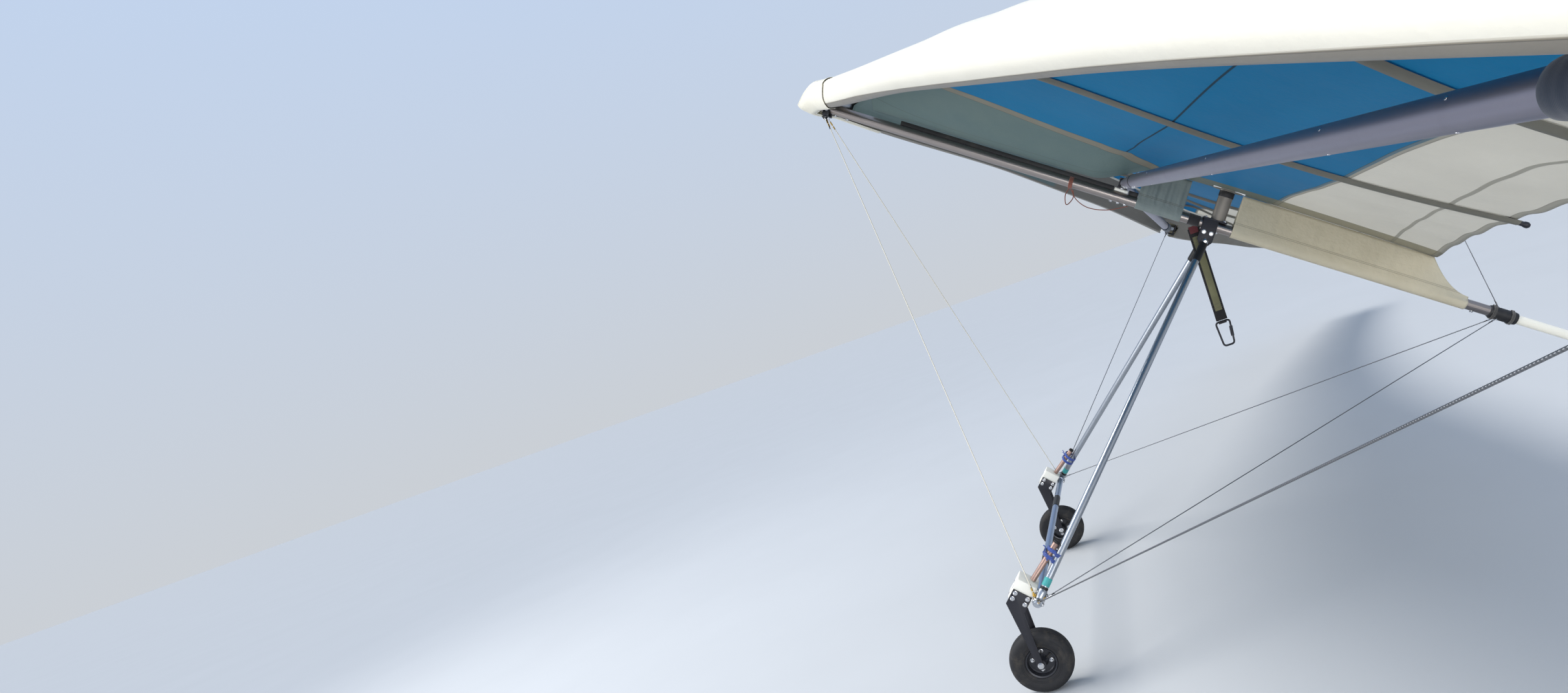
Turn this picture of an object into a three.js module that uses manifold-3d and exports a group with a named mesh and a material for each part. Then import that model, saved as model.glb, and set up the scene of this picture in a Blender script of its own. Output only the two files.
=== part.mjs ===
// A tandem, single-surface, kingposted hang glider, parked on its two wheels and its tail.
// The airframe is modelled in the keel frame: X to the left wing, Y aft from the nose, Z up, mm.
// The whole airframe is then pitched nose-up until both wheels and the tail cap rest on Z = 0.
import * as THREE from 'three';
import { mergeVertices } from 'three/addons/utils/BufferGeometryUtils.js';
import Module from 'manifold-3d';

const wasm = await Module();
wasm.setup();

// Driving dimensions, mm and radians
const GAP = 0.3;
const KEEL_DIAMETER = 43;
const KEEL_FRONT = 30;
const KEEL_END = 3030;
const SLEEVE_END = 3150;
const NOSE_PLATE = 4;
const NOSE_THIMBLE = 60;
const JOINT_THIMBLE = 60;
const LONG_THIMBLE = 70;
const STINGER_DIAMETER = 38;
const STINGER_END = 4210;
const TAIL_CAP_RADIUS = 32;
const NOSE_HALF_ANGLE = THREE.MathUtils.degToRad(59);
const LEADING_EDGE_DIAMETER = 52;
const NOSE_EDGE_Z = KEEL_DIAMETER / 2 + 2 * GAP + NOSE_PLATE + LEADING_EDGE_DIAMETER / 2;
const LEADING_EDGE_STRAIGHT = 3600;
const LEADING_EDGE_BENT = 830;
const LEADING_EDGE_BENDS = 3;
const TIP_SLOPES = [0.06, 0.1, 0.14];
const LEADING_EDGE_LENGTH = LEADING_EDGE_STRAIGHT + LEADING_EDGE_BENT * LEADING_EDGE_BENDS;
const TIP_BEND = THREE.MathUtils.degToRad(5);
const DIHEDRAL = 0.0103;
const POCKET_TOP = 170;
const POCKET_REAR = 112;
const POCKET_WALL = 3;
const POCKET_STATIONS = [190, 300, 400, 700, 1000, 1400, 1800, 2300, 2700, 3100, 3400];
const CONE_STATIONS = [-60, 0, 50, 100, 145];
const TUBE_START = 90;
const NOSE_HEIGHT = 0.3;
const NOSE_TAPER = 2150;
const NOSE_BULGE = 0.45;
const NOSE_DROOP = 60;
const TIP_MARGIN = 40;
const SAIL_THICKNESS = 4;
const SAIL_STEPS = 13;
const SAIL_INNER = 1;
const ROOT_TRAILING_EDGE = 2750;
const ROOT_LOW = 48;
const ROOT_RISE = [1250, 1550];
const ROOT_WIDTH = 300;
const BATTEN_DIAMETER = 14;
const BATTENS = [900, 1900, 2900, 3800, 4550];
const APEX_Y = 1807;
const UPRIGHT_LENGTH = 1688;
const UPRIGHT_DIAMETER = 30;
const BASE_BAR_HALF = 782;
const BASE_BAR_DIAMETER = 30;
const CONTROL_FRAME_RAKE = THREE.MathUtils.degToRad(9);
const CROSSBAR_DIAMETER = 52;
const CROSSBAR_INNER = [46, 1404, 58];
const CROSSBAR_OUTER = [2870, 1836, 64];
const CROSSBAR_SLEEVE_START = 0.907;
const CROSSBAR_SLEEVE_DIAMETER = 66;
const JUNCTION_X = 3090;
const KINGPOST_Y = 1835;
const KINGPOST_HEIGHT = 1150;
const KINGPOST_CHORD = 62;
const KINGPOST_WIDTH = 30;
const APEX_PLATE = 6;
const APEX_CHEEK_INNER = 22;
const APEX_CHEEK_OUTER = 30;
const WIRE_DIAMETER = 4;
const THIMBLE_RADIUS = 6;
const THIMBLE_LENGTH = 46;
const WHEEL_RADIUS = 126;
const WHEEL_X = 720;
const WHEEL_Y = 1661;
const WHEEL_Z = -1767;
const AXLE_DIAMETER = 14;
const RIM_RADIUS = 62;
const STRAP_Y = 1738;
const STRAP_WIDTH = 50;
const STRAP_THICKNESS = 8;
const STRAP_LENGTH = 430;
const STRAP_HINGE = 45;
const STRAP_FORWARD = THREE.MathUtils.degToRad(75);
const STRAP_AFT = THREE.MathUtils.degToRad(35);
const STRAP_CLEARANCE = 0.6;
const CARABINER_WIDTH = 62;
const CARABINER_LENGTH = 108;
const CARABINER_RADIUS = 5;
const FORK_BLOCK = [82, 84, 86];
const FORK_PLATE = 5;
const LEG_DIAMETER = 24;
const LEG_REACH = 225;

// Parked attitude: the angle that sets the wheels and the tail cap on one floor
const tailRun = STINGER_END - WHEEL_Y;
const parkedPitch = Math.atan2(-WHEEL_Z, tailRun)
  + Math.asin((WHEEL_RADIUS - TAIL_CAP_RADIUS) / Math.hypot(tailRun, WHEEL_Z));

const vec = (x, y, z) => new THREE.Vector3(x, y, z);
const mirror = (point) => vec(-point.x, point.y, point.z);

// Materials
const finish = (color, roughness, metalness = 0) =>
  new THREE.MeshStandardMaterial({ color, roughness, metalness });
const silver = () => finish(0xb9bcc0, 0.32, 1);
const whiteTube = () => finish(0xe4e6e2, 0.45);
const blackRubber = () => finish(0x17181a, 0.75);
const blackSteel = () => finish(0x202124, 0.45, 0.6);
const whiteCloth = () => finish(0xe9e8e3, 0.7);
const blueCloth = () => finish(0x2d74a8, 0.7);
const navyCloth = () => finish(0x263449, 0.85);
const whitePlastic = () => finish(0xe8e6df, 0.4);
const wireSteel = () => finish(0xa7a9a8, 0.4, 0.9);
const blackWebbing = () => finish(0x1c1a1c, 0.9);

// Solid helpers
function toManifold(geometry) {
  const bare = geometry.clone();
  for (const name of ['normal', 'uv']) bare.deleteAttribute(name);
  const merged = mergeVertices(bare, 1e-4);
  return new wasm.Manifold(new wasm.Mesh({
    numProp: 3,
    vertProperties: new Float32Array(merged.attributes.position.array),
    triVerts: new Uint32Array(merged.index.array),
  }));
}

function toGeometry(manifold) {
  const result = manifold.getMesh();
  const geometry = new THREE.BufferGeometry();
  geometry.setAttribute('position', new THREE.BufferAttribute(result.vertProperties, 3));
  geometry.setIndex(new THREE.BufferAttribute(result.triVerts, 1));
  geometry.computeVertexNormals();
  return geometry;
}

const join = (...geometries) =>
  toGeometry(geometries.map(toManifold).reduce((whole, piece) => whole.add(piece)));
const cut = (body, ...tools) =>
  toGeometry(tools.map(toManifold).reduce((rest, tool) => rest.subtract(tool), toManifold(body)));

function block(size, centre) {
  return new THREE.BoxGeometry(...size).translate(...centre);
}

// A cylinder between two points, narrowing from the first radius to the second
function rod(start, end, radius, sides = 16, endRadius = radius) {
  const axis = end.clone().sub(start);
  const geometry = new THREE.CylinderGeometry(endRadius, radius, axis.length(), sides);
  geometry.translate(0, axis.length() / 2, 0);
  const turn = new THREE.Quaternion().setFromUnitVectors(vec(0, 1, 0), axis.clone().normalize());
  return geometry.applyQuaternion(turn).translate(start.x, start.y, start.z);
}

// A closed body through rings of points, each ring anticlockwise seen from the far end
function loft(rings) {
  const count = rings[0].length;
  const position = rings.flat().flatMap((point) => [point.x, point.y, point.z]);
  const index = [];
  for (let ring = 0; ring < rings.length - 1; ring += 1) {
    for (let side = 0; side < count; side += 1) {
      const next = (side + 1) % count;
      const a = ring * count + side;
      const b = ring * count + next;
      index.push(a, b, b + count, a, b + count, a + count);
    }
  }
  for (const [ring, outward] of [[0, false], [rings.length - 1, true]]) {
    const flat = flatten(rings[ring]);
    for (const [a, b, c] of THREE.ShapeUtils.triangulateShape(flat, [])) {
      const first = ring * count;
      index.push(...(outward ? [first + a, first + b, first + c] : [first + a, first + c, first + b]));
    }
  }
  const geometry = new THREE.BufferGeometry();
  geometry.setAttribute('position', new THREE.Float32BufferAttribute(position, 3));
  geometry.setIndex(index);
  return geometry;
}

// A ring's points in its own plane, for its end cap
function flatten(ring) {
  const centre = ring.reduce((sum, point) => sum.add(point), vec(0, 0, 0)).divideScalar(ring.length);
  const normal = vec(0, 0, 0);
  ring.forEach((point, i) => {
    const next = ring[(i + 1) % ring.length];
    normal.add(point.clone().sub(centre).cross(next.clone().sub(centre)));
  });
  normal.normalize();
  const along = ring[0].clone().sub(centre).projectOnPlane(normal).normalize();
  const across = normal.clone().cross(along);
  return ring.map((point) => {
    const arm = point.clone().sub(centre);
    return new THREE.Vector2(arm.dot(along), arm.dot(across));
  });
}

const airframe = new THREE.Group();
function add(name, geometry, material, parent = airframe) {
  const piece = new THREE.Mesh(geometry, material);
  piece.name = name;
  parent.add(piece);
  return piece;
}

const SIDES = [['left', 1], ['right', -1]];
const mirrored = (geometry, side) => {
  if (side > 0) return geometry;
  const flipped = geometry.clone().scale(-1, 1, 1);
  const order = flipped.index ? Array.from(flipped.index.array)
    : Array.from({ length: flipped.attributes.position.count }, (_, i) => i);
  for (let i = 0; i < order.length; i += 3) [order[i], order[i + 1]] = [order[i + 1], order[i]];
  flipped.setIndex(order);
  return flipped;
};

// How far along one of its bent runs the leading edge is
function bentPart(run, distance) {
  const gone = distance - LEADING_EDGE_STRAIGHT - run * LEADING_EDGE_BENT;
  const last = run === LEADING_EDGE_BENDS - 1;
  return Math.max(last ? gone : Math.min(gone, LEADING_EDGE_BENT), 0);
}

// Climb of the bent leading edge towards its tip
const tipRise = (distance) => TIP_SLOPES.reduce((rise, slope, run) => rise + slope * bentPart(run, distance), 0);

// Leading edge line, from the nose out along the left wing: straight, then bent back and up in short runs
function leadingEdge(distance) {
  const straight = Math.min(distance, LEADING_EDGE_STRAIGHT);
  let x = straight * Math.sin(NOSE_HALF_ANGLE);
  let y = straight * Math.cos(NOSE_HALF_ANGLE);
  for (let run = 0; run < LEADING_EDGE_BENDS; run += 1) {
    const part = bentPart(run, distance);
    const sweep = NOSE_HALF_ANGLE - TIP_BEND * (run + 0.5) / LEADING_EDGE_BENDS;
    x += part * Math.sin(sweep);
    y += part * Math.cos(sweep);
  }
  return vec(x, y, NOSE_EDGE_Z + x * DIHEDRAL + tipRise(distance));
}

// Where the leading edge bends
const bends = Array.from({ length: LEADING_EDGE_BENDS }, (_, i) =>
  LEADING_EDGE_STRAIGHT + i * LEADING_EDGE_BENT);

// Level direction square to the leading edge, pointing aft
function edgeAft(distance) {
  const ahead = leadingEdge(distance + 1).sub(leadingEdge(distance - 1));
  return vec(-ahead.y, ahead.x, 0).normalize();
}

// Where the sail starts, behind the leading edge pocket
const sailFront = (distance) =>
  leadingEdge(distance).addScaledVector(edgeAft(distance), POCKET_REAR + GAP);

// Distance along the leading edge whose point on a line is at a place across the span
function distanceAt(line, x) {
  let low = 0;
  let high = LEADING_EDGE_LENGTH + 500;
  for (let step = 0; step < 50; step += 1) {
    const middle = (low + high) / 2;
    if (line(middle).x < x) low = middle;
    else high = middle;
  }
  return low;
}

// Share of the full height that the leading edge's section has: low at the nose, lower again at the tip
function sectionHeight(distance) {
  const grown = NOSE_HEIGHT + (1 - NOSE_HEIGHT) * THREE.MathUtils.smoothstep(distance, 0, NOSE_TAPER);
  const outboard = (distance - LEADING_EDGE_STRAIGHT) / (LEADING_EDGE_LENGTH - LEADING_EDGE_STRAIGHT);
  return grown * (1 - 0.35 * THREE.MathUtils.clamp(outboard, 0, 1));
}

// Growth of the section's depth under the tube: deep round the nose plates and round the crossbar's end
function sectionDepth(distance) {
  const ease = THREE.MathUtils.smoothstep;
  const crossbarEnd = ease(distance, 2400, 3900) * (1 - 0.8 * ease(distance, 3750, 4800));
  return 1 + 1.2 * crossbarEnd + 1.2 * (1 - ease(distance, 200, 1500)) + 0.6 * (1 - ease(distance, 0, 150));
}

// Sail surface, as places across the half span and fractions along the chord
const tipX = leadingEdge(LEADING_EDGE_LENGTH).x;
const sailTipX = sailFront(LEADING_EDGE_LENGTH - TIP_MARGIN).x;
const trailingEdgeY = (x) => {
  const out = x / tipX;
  return ROOT_TRAILING_EDGE - 350 * Math.sin(Math.min(out / 0.5, 1) * Math.PI / 2)
    + 1290 * Math.max(out - 0.3, 0) ** 1.4 / 0.7 ** 1.4;
};
const trailingEdgeZ = (x) => 146 + 70 * (1 - Math.exp(-x / 500)) + 12 * x / 1000;
const rootCamber = (t) => 30 * Math.sin(Math.PI * t) ** 0.8;
const battenCamber = (t) => 50 * (t ** 0.6 * (1 - t) ** 2.6) / 0.2137 - 30 * Math.sin(Math.PI * t);
function sailPoint(x, t) {
  const distance = distanceAt(sailFront, x);
  const front = sailFront(distance);
  const noseRelief = 140 * Math.max(0, 1 - x / 250);
  const frontY = front.y + noseRelief;
  const frontZ = front.z + POCKET_TOP * sectionHeight(distance) - SAIL_THICKNESS / 2 - 0.2;
  const rearY = trailingEdgeY(x);
  const rearZ = trailingEdgeZ(x) + tipRise(distance);
  const share = THREE.MathUtils.smoothstep(x, 0, 700);
  const chord = Math.max(Math.min(t, 1), 0);
  const camber = share * battenCamber(chord) + (1 - share) * rootCamber(chord);
  const y = frontY + (rearY - frontY) * t;
  const z = frontZ + (rearZ - frontZ) * t + camber;
  return vec(x, y, z - rootDrop(x, y, z));
}

// How far the sail's middle comes down towards the keel, ahead of the crossbar
function rootDrop(x, y, z) {
  const height = z - ROOT_LOW;
  const halfPanel = sailFront(0).x + Math.max(y - sailFront(0).y, 0) * Math.tan(NOSE_HALF_ANGLE);
  const width = ROOT_WIDTH * Math.min(1, Math.max(halfPanel, 60) / 900);
  return height * (1 - THREE.MathUtils.smoothstep(y, ...ROOT_RISE)) * Math.exp(-((x / width) ** 2));
}

// Places across the span where the sail's sections lie, with one at each bend of the leading edge
function sailStations() {
  const knots = [SAIL_INNER, 250, 850, ...bends.map((bend) => sailFront(bend).x), sailTipX];
  const counts = [4, 4, 6, 3, 3, 3];
  const stations = [SAIL_INNER];
  for (let i = 1; i < knots.length; i += 1) {
    for (let step = 1; step <= counts[i - 1]; step += 1) {
      stations.push(knots[i - 1] + (knots[i] - knots[i - 1]) * step / counts[i - 1]);
    }
  }
  return stations;
}

// The sail's points along the chord at one place across the span
const sailLine = (x) => Array.from({ length: SAIL_STEPS + 1 }, (_, j) => sailPoint(x, (j / SAIL_STEPS) ** 1.2));

function sailGeometry() {
  const rings = sailStations().map((x) => {
    const line = sailLine(x);
    const under = line.map((point) => point.clone().add(vec(0, 0, -SAIL_THICKNESS / 2)));
    const top = line.map((point) => point.clone().add(vec(0, 0, SAIL_THICKNESS / 2)));
    return [...under, ...top.reverse()];
  });
  const kingpostSlot = block([52, 130, 400], [0, KINGPOST_Y, 160]);
  return cut(join(loft(rings), ...BATTENS.map(battenGeometry)), kingpostSlot, sideWireSlot());
}

// The hole that the upper side wire passes through, in the leading edge pocket and in the sail
const sideWireSlot = () => rod(upperTang, upperTang.clone().lerp(kingpostTop, 0.3), 14, 12);

// A batten under the sail, from behind the leading edge pocket to its tip just past the trailing edge
function battenGeometry(x) {
  const steps = 7;
  const rings = Array.from({ length: steps + 1 }, (_, i) => {
    const start = 0.03;
    const centre = sailPoint(x, start + (1.008 - start) * i / steps).add(vec(0, 0, -BATTEN_DIAMETER / 2));
    return Array.from({ length: 8 }, (_, side) => {
      const angle = -side * Math.PI / 4;
      return centre.clone().add(vec(Math.cos(angle), 0, Math.sin(angle)).multiplyScalar(BATTEN_DIAMETER / 2));
    });
  });
  return loft(rings);
}

// Leading edge section as offsets aft and up from the tube: a rounded nose over the tube and a straight flap behind
const sectionCurve = new THREE.SplineCurve([
  [112, 170], [34, 138], [-22, 88], [-42, 20], [-33, -18], [-5, -34], [24, -30],
].map(([back, up]) => new THREE.Vector2(back, up)));

// A point of the section at its distance out from the nose, where the front bulges ahead and droops
function sectionShape(point, distance) {
  const ahead = Math.max(-point.x, 0);
  const bulge = NOSE_BULGE * (1 - THREE.MathUtils.smoothstep(distance, 0, 300));
  const droop = NOSE_DROOP * (1 - THREE.MathUtils.smoothstep(distance, 0, 200)) * (ahead / 42) ** 2;
  const up = point.y * (point.y > 0 ? sectionHeight(distance) : sectionDepth(distance));
  return new THREE.Vector2(point.x - ahead * bulge, up - droop);
}

function pocketSection(offset, distance, reach = 0) {
  const points = sectionCurve.getPoints(15).map((point) => sectionShape(point, distance));
  const count = points.length;
  const moved = points.map((point, i) => {
    const before = point.clone().sub(points[(i + count - 1) % count]).normalize();
    const after = points[(i + 1) % count].clone().sub(point).normalize();
    const outward = new THREE.Vector2(before.y + after.y, -before.x - after.x).normalize();
    const mitre = Math.max(0.42, Math.sqrt((1 + before.dot(after)) / 2));
    return point.clone().addScaledVector(outward, offset / mitre);
  });
  for (const [last, next] of [[moved[0], moved[1]], [moved[count - 1], moved[count - 2]]]) {
    last.addScaledVector(last.clone().sub(next).normalize(), reach);
  }
  return moved.map((point) => [point.x, point.y]);
}

// A body swept along the leading edge, from its section at each distance out from the nose
function alongEdge(sectionAt, distances) {
  return loft(distances.map((distance) => sectionAt(distance).map(([back, up]) =>
    leadingEdge(distance).addScaledVector(edgeAft(distance), back).add(vec(0, 0, up)))));
}

function addWing() {
  const end = LEADING_EDGE_LENGTH - TIP_MARGIN;
  const [first, ...others] = [...POCKET_STATIONS, ...bends];
  const skin = alongEdge((distance) => pocketSection(0, distance), [first, ...others, end]);
  const inside = alongEdge((distance) => pocketSection(-POCKET_WALL, distance), [first - 20, ...others, end + 20]);
  const doorway = block([220, 200, 130], [JUNCTION_X - 60, junction.y + 40, junction.z + 8]);
  const pocket = cut(skin, inside, doorway, sideWireSlot());
  const circle = Array.from({ length: 20 }, (_, i) => {
    const angle = i * Math.PI / 10;
    return [LEADING_EDGE_DIAMETER / 2 * Math.cos(angle), LEADING_EDGE_DIAMETER / 2 * Math.sin(angle)];
  });
  const tube = alongEdge(() => circle, [TUBE_START, ...bends, LEADING_EDGE_LENGTH]);
  const sail = sailGeometry();
  for (const [name, side] of SIDES) {
    add(`leading_edge_tube_${name}`, mirrored(tube, side), silver());
    add(`leading_edge_pocket_${name}`, mirrored(pocket, side), whiteCloth());
    add(`sail_${name}`, mirrored(sail, side), blueCloth());
  }
}

// Places that the rigging runs between
const frameDown = vec(0, -Math.sin(CONTROL_FRAME_RAKE), -Math.cos(CONTROL_FRAME_RAKE));
const frameAhead = vec(0, -Math.cos(CONTROL_FRAME_RAKE), Math.sin(CONTROL_FRAME_RAKE));
const frameDrop = Math.sqrt(UPRIGHT_LENGTH ** 2 - BASE_BAR_HALF ** 2);
const apex = vec(0, APEX_Y, -40);
const corner = apex.clone().addScaledVector(frameDown, frameDrop).add(vec(BASE_BAR_HALF, 0, 0));
const uprightTop = vec(43.6, APEX_Y, -70);
const cornerTang = corner.clone().add(vec(10, 0, 0));
const kingpostBase = KEEL_DIAMETER / 2 + APEX_PLATE + 2 * GAP;
const kingpostTop = vec(0, KINGPOST_Y, kingpostBase + KINGPOST_HEIGHT);
const noseTang = vec(14, 70, -37);
const noseOver = vec(0, 110, NOSE_EDGE_Z + LEADING_EDGE_DIAMETER / 2 + 5);
const edgeAtJunction = leadingEdge(distanceAt(leadingEdge, JUNCTION_X));
const junction = edgeAtJunction.clone().add(vec(0, 0, -LEADING_EDGE_DIAMETER / 2 - 20));
const upperTang = edgeAtJunction.clone().add(vec(0, 52, 66));
const tailTang = vec(0, 3090, 0);

// A wire's short end fitting, from its anchor towards the wire's far end
function thimble(anchor, target, length = THIMBLE_LENGTH) {
  const direction = target.clone().sub(anchor).normalize();
  return rod(anchor, anchor.clone().addScaledVector(direction, length), THIMBLE_RADIUS, 10);
}

function wire(start, end, startFitting = THIMBLE_LENGTH, endFitting = THIMBLE_LENGTH) {
  const direction = end.clone().sub(start).normalize();
  return rod(
    start.clone().addScaledVector(direction, startFitting + GAP),
    end.clone().addScaledVector(direction, -endFitting - GAP),
    WIRE_DIAMETER / 2, 8,
  );
}

function addKeel() {
  const tail = vec(0, STINGER_END, 0);
  add('keel_tube', rod(vec(0, KEEL_FRONT, 0), vec(0, KEEL_END, 0), KEEL_DIAMETER / 2, 24), silver());
  const sleeve = join(
    rod(vec(0, KEEL_END + GAP, 0), vec(0, SLEEVE_END, 0), KEEL_DIAMETER / 2 + 5, 20),
    thimble(tailTang, cornerTang, LONG_THIMBLE),
    thimble(tailTang, mirror(cornerTang), LONG_THIMBLE),
    thimble(tailTang, kingpostTop, LONG_THIMBLE),
  );
  add('keel_rear_sleeve', sleeve, blackWebbing());
  add('keel_stinger', rod(vec(0, SLEEVE_END + GAP, 0), tail.clone().add(vec(0, -60, 0)),
    STINGER_DIAMETER / 2, 20), whiteTube());
  const cap = new THREE.LatheGeometry([
    new THREE.Vector2(0, -60 + GAP),
    new THREE.Vector2(TAIL_CAP_RADIUS - 6, -60 + GAP),
    ...Array.from({ length: 9 }, (_, i) => new THREE.Vector2(
      TAIL_CAP_RADIUS * Math.cos(i * Math.PI / 16), TAIL_CAP_RADIUS * Math.sin(i * Math.PI / 16))),
  ].map((point, i, all) => (i === all.length - 1 ? new THREE.Vector2(0, point.y) : point)), 32);
  add('tail_cap', cap.translate(0, STINGER_END, 0), blackRubber());
}

function addNose() {
  const outline = new THREE.Shape([
    [-122, 150], [-127, 82], [-66, 43], [0, 38], [66, 43], [127, 82], [122, 150],
  ].map(([x, y]) => new THREE.Vector2(x, y)));
  const bottom = KEEL_DIAMETER / 2 + GAP;
  const slotDepth = LEADING_EDGE_DIAMETER + 2 * GAP + 1;
  const depth = slotDepth + 2 * NOSE_PLATE;
  const plate = new THREE.ExtrudeGeometry(outline, { depth, bevelEnabled: false }).translate(0, 0, bottom);
  const slotZ = bottom + depth / 2;
  const slots = [[400, 300, 0, 202], [100, 300, 110, 100], [100, 300, -110, 100]].map(([wide, deep, x, y]) =>
    block([wide, deep, slotDepth], [x, y, slotZ]));
  const cheekX = KEEL_DIAMETER / 2 + 3;
  const [cheekY, cheekDepth] = [74, 28];
  const cheek = [4, cheekDepth, bottom + 38];
  const plates = join(
    cut(plate, ...slots),
    block(cheek, [cheekX, cheekY, (bottom - 36) / 2]),
    block(cheek, [-cheekX, cheekY, (bottom - 36) / 2]),
    block([2 * cheekX + 4, cheekDepth, 4], [0, cheekY, -35]),
    thimble(noseTang, cornerTang, NOSE_THIMBLE),
    thimble(mirror(noseTang), mirror(cornerTang), NOSE_THIMBLE),
    thimble(noseOver, kingpostTop, NOSE_THIMBLE),
  );
  add('nose_plates', plates, blackSteel());
  const halfSpace = block([1200, 1200, 600], [-600, 0, 0]);
  const stations = [...CONE_STATIONS, ...POCKET_STATIONS.slice(0, 3)];
  const behind = alongEdge(() => [[POCKET_REAR - 3, -120], [300, -120], [300, 300], [POCKET_REAR - 3, 300]], [-60, 460]);
  const outer = cut(alongEdge((distance) => pocketSection(5, distance), stations), halfSpace, behind);
  const hollow = cut(
    alongEdge((distance) => pocketSection(0.6, distance, 60), [...stations, 450]),
    block([1200, 1200, 600], [-600 - GAP, 0, 0]),
  );
  const wireHole = rod(noseOver, noseOver.clone().lerp(kingpostTop, 0.2), 16, 12);
  const cone = cut(join(outer, mirrored(outer, -1)), hollow, mirrored(hollow, -1), wireHole);
  add('nose_cone', cone, whiteCloth());
}

function addCrossbar() {
  const inner = vec(...CROSSBAR_INNER);
  const outer = vec(...CROSSBAR_OUTER);
  const along = outer.clone().sub(inner);
  const sleeveStart = inner.clone().addScaledVector(along, CROSSBAR_SLEEVE_START);
  const unit = along.clone().normalize();
  const tube = join(
    rod(inner, inner.clone().addScaledVector(unit, 190), 16, 20, CROSSBAR_DIAMETER / 2),
    rod(inner.clone().addScaledVector(unit, 189), sleeveStart, CROSSBAR_DIAMETER / 2, 20),
  );
  const sleeve = rod(sleeveStart.clone().addScaledVector(unit, GAP), outer, CROSSBAR_SLEEVE_DIAMETER / 2, 24);
  const socket = outer.clone().addScaledVector(unit, GAP);
  const pad = junction.clone().add(vec(0, 0, 20 - 2 * GAP));
  const post = junction.clone().add(vec(0, 52, 0));
  const bracket = join(
    rod(socket, socket.clone().addScaledVector(unit, 30), 20, 16),
    rod(socket.clone().addScaledVector(unit, 22), junction, 16, 16),
    new THREE.SphereGeometry(17, 16, 10).translate(junction.x, junction.y, junction.z),
    rod(junction, pad, 12, 16),
    rod(junction, post, 7, 12),
    new THREE.SphereGeometry(7.5, 12, 8).translate(post.x, post.y, post.z),
    rod(post, upperTang, 7, 12),
    new THREE.SphereGeometry(7.5, 12, 8).translate(upperTang.x, upperTang.y, upperTang.z),
    thimble(junction, cornerTang, JOINT_THIMBLE),
    thimble(upperTang, kingpostTop, JOINT_THIMBLE),
  );
  for (const [name, side] of SIDES) {
    add(`crossbar_${name}`, mirrored(tube, side), silver());
    add(`crossbar_sleeve_${name}`, mirrored(sleeve, side), navyCloth());
    add(`crossbar_end_bracket_${name}`, mirrored(bracket, side), blackSteel());
  }
  const hinge = join(
    block([2 * (CROSSBAR_INNER[0] - 3), 46, 44], [0, CROSSBAR_INNER[1], CROSSBAR_INNER[2]]),
    block([30, 60, 14], [0, CROSSBAR_INNER[1], CROSSBAR_INNER[2] - 29]),
  );
  add('crossbar_centre_hinge', hinge, blackSteel());
}

function addKingpost() {
  const half = KINGPOST_WIDTH / 2;
  const section = new THREE.Shape();
  section.absellipse(0, 0, half, KINGPOST_CHORD / 2, 0, Math.PI * 2);
  const settings = { depth: KINGPOST_HEIGHT - 40, bevelEnabled: false, curveSegments: 12 };
  const post = new THREE.ExtrudeGeometry(section, settings);
  add('kingpost', post.translate(0, KINGPOST_Y, kingpostBase), silver());
  const cap = join(
    block([34, 66, 40], [0, KINGPOST_Y, kingpostBase + KINGPOST_HEIGHT - 20 + GAP]),
    thimble(kingpostTop, noseOver, LONG_THIMBLE),
    thimble(kingpostTop, tailTang, LONG_THIMBLE),
    thimble(kingpostTop, upperTang, LONG_THIMBLE),
    thimble(kingpostTop, mirror(upperTang), LONG_THIMBLE),
  );
  add('kingpost_cap', cap, blackSteel());
}

function addControlFrame() {
  const plateZ = KEEL_DIAMETER / 2 + GAP + APEX_PLATE / 2;
  const cheek = [APEX_CHEEK_OUTER - APEX_CHEEK_INNER, 66, plateZ + 88];
  const cheekX = (APEX_CHEEK_OUTER + APEX_CHEEK_INNER) / 2;
  const cheekZ = (plateZ - 88) / 2;
  const bracket = join(
    block([2 * APEX_CHEEK_OUTER, 104, APEX_PLATE], [0, APEX_Y + 16, plateZ]),
    block(cheek, [cheekX, APEX_Y, cheekZ]),
    block(cheek, [-cheekX, APEX_Y, cheekZ]),
  );
  add('apex_bracket', bracket, blackSteel());
  const axis = corner.clone().sub(uprightTop).normalize();
  const upright = rod(uprightTop, corner.clone().addScaledVector(axis, -46 - GAP), UPRIGHT_DIAMETER / 2, 20);
  const barEnd = corner.clone().add(vec(-32 - GAP, 0, 0));
  add('base_bar', rod(barEnd, mirror(barEnd), BASE_BAR_DIAMETER / 2, 20), silver());
  const knuckle = join(
    rod(corner.clone().addScaledVector(axis, -46), corner.clone().addScaledVector(axis, 10), 19, 16),
    rod(corner.clone().add(vec(-32, 0, 0)), corner.clone().add(vec(14, 0, 0)), 19, 16),
    thimble(cornerTang, noseTang, LONG_THIMBLE),
    thimble(cornerTang, tailTang, LONG_THIMBLE),
    thimble(cornerTang, junction, LONG_THIMBLE),
  );
  for (const [name, side] of SIDES) {
    add(`upright_${name}`, mirrored(upright, side), silver());
    add(`corner_bracket_${name}`, mirrored(knuckle, side), silver());
  }
}

// A box whose sides run along the control frame: across, ahead and down
function frameBlock(size, centre) {
  const turn = new THREE.Matrix4().makeBasis(vec(1, 0, 0), frameAhead, frameAhead.clone().cross(vec(-1, 0, 0)));
  return new THREE.BoxGeometry(...size).applyMatrix4(turn).translate(centre.x, centre.y, centre.z);
}

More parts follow.
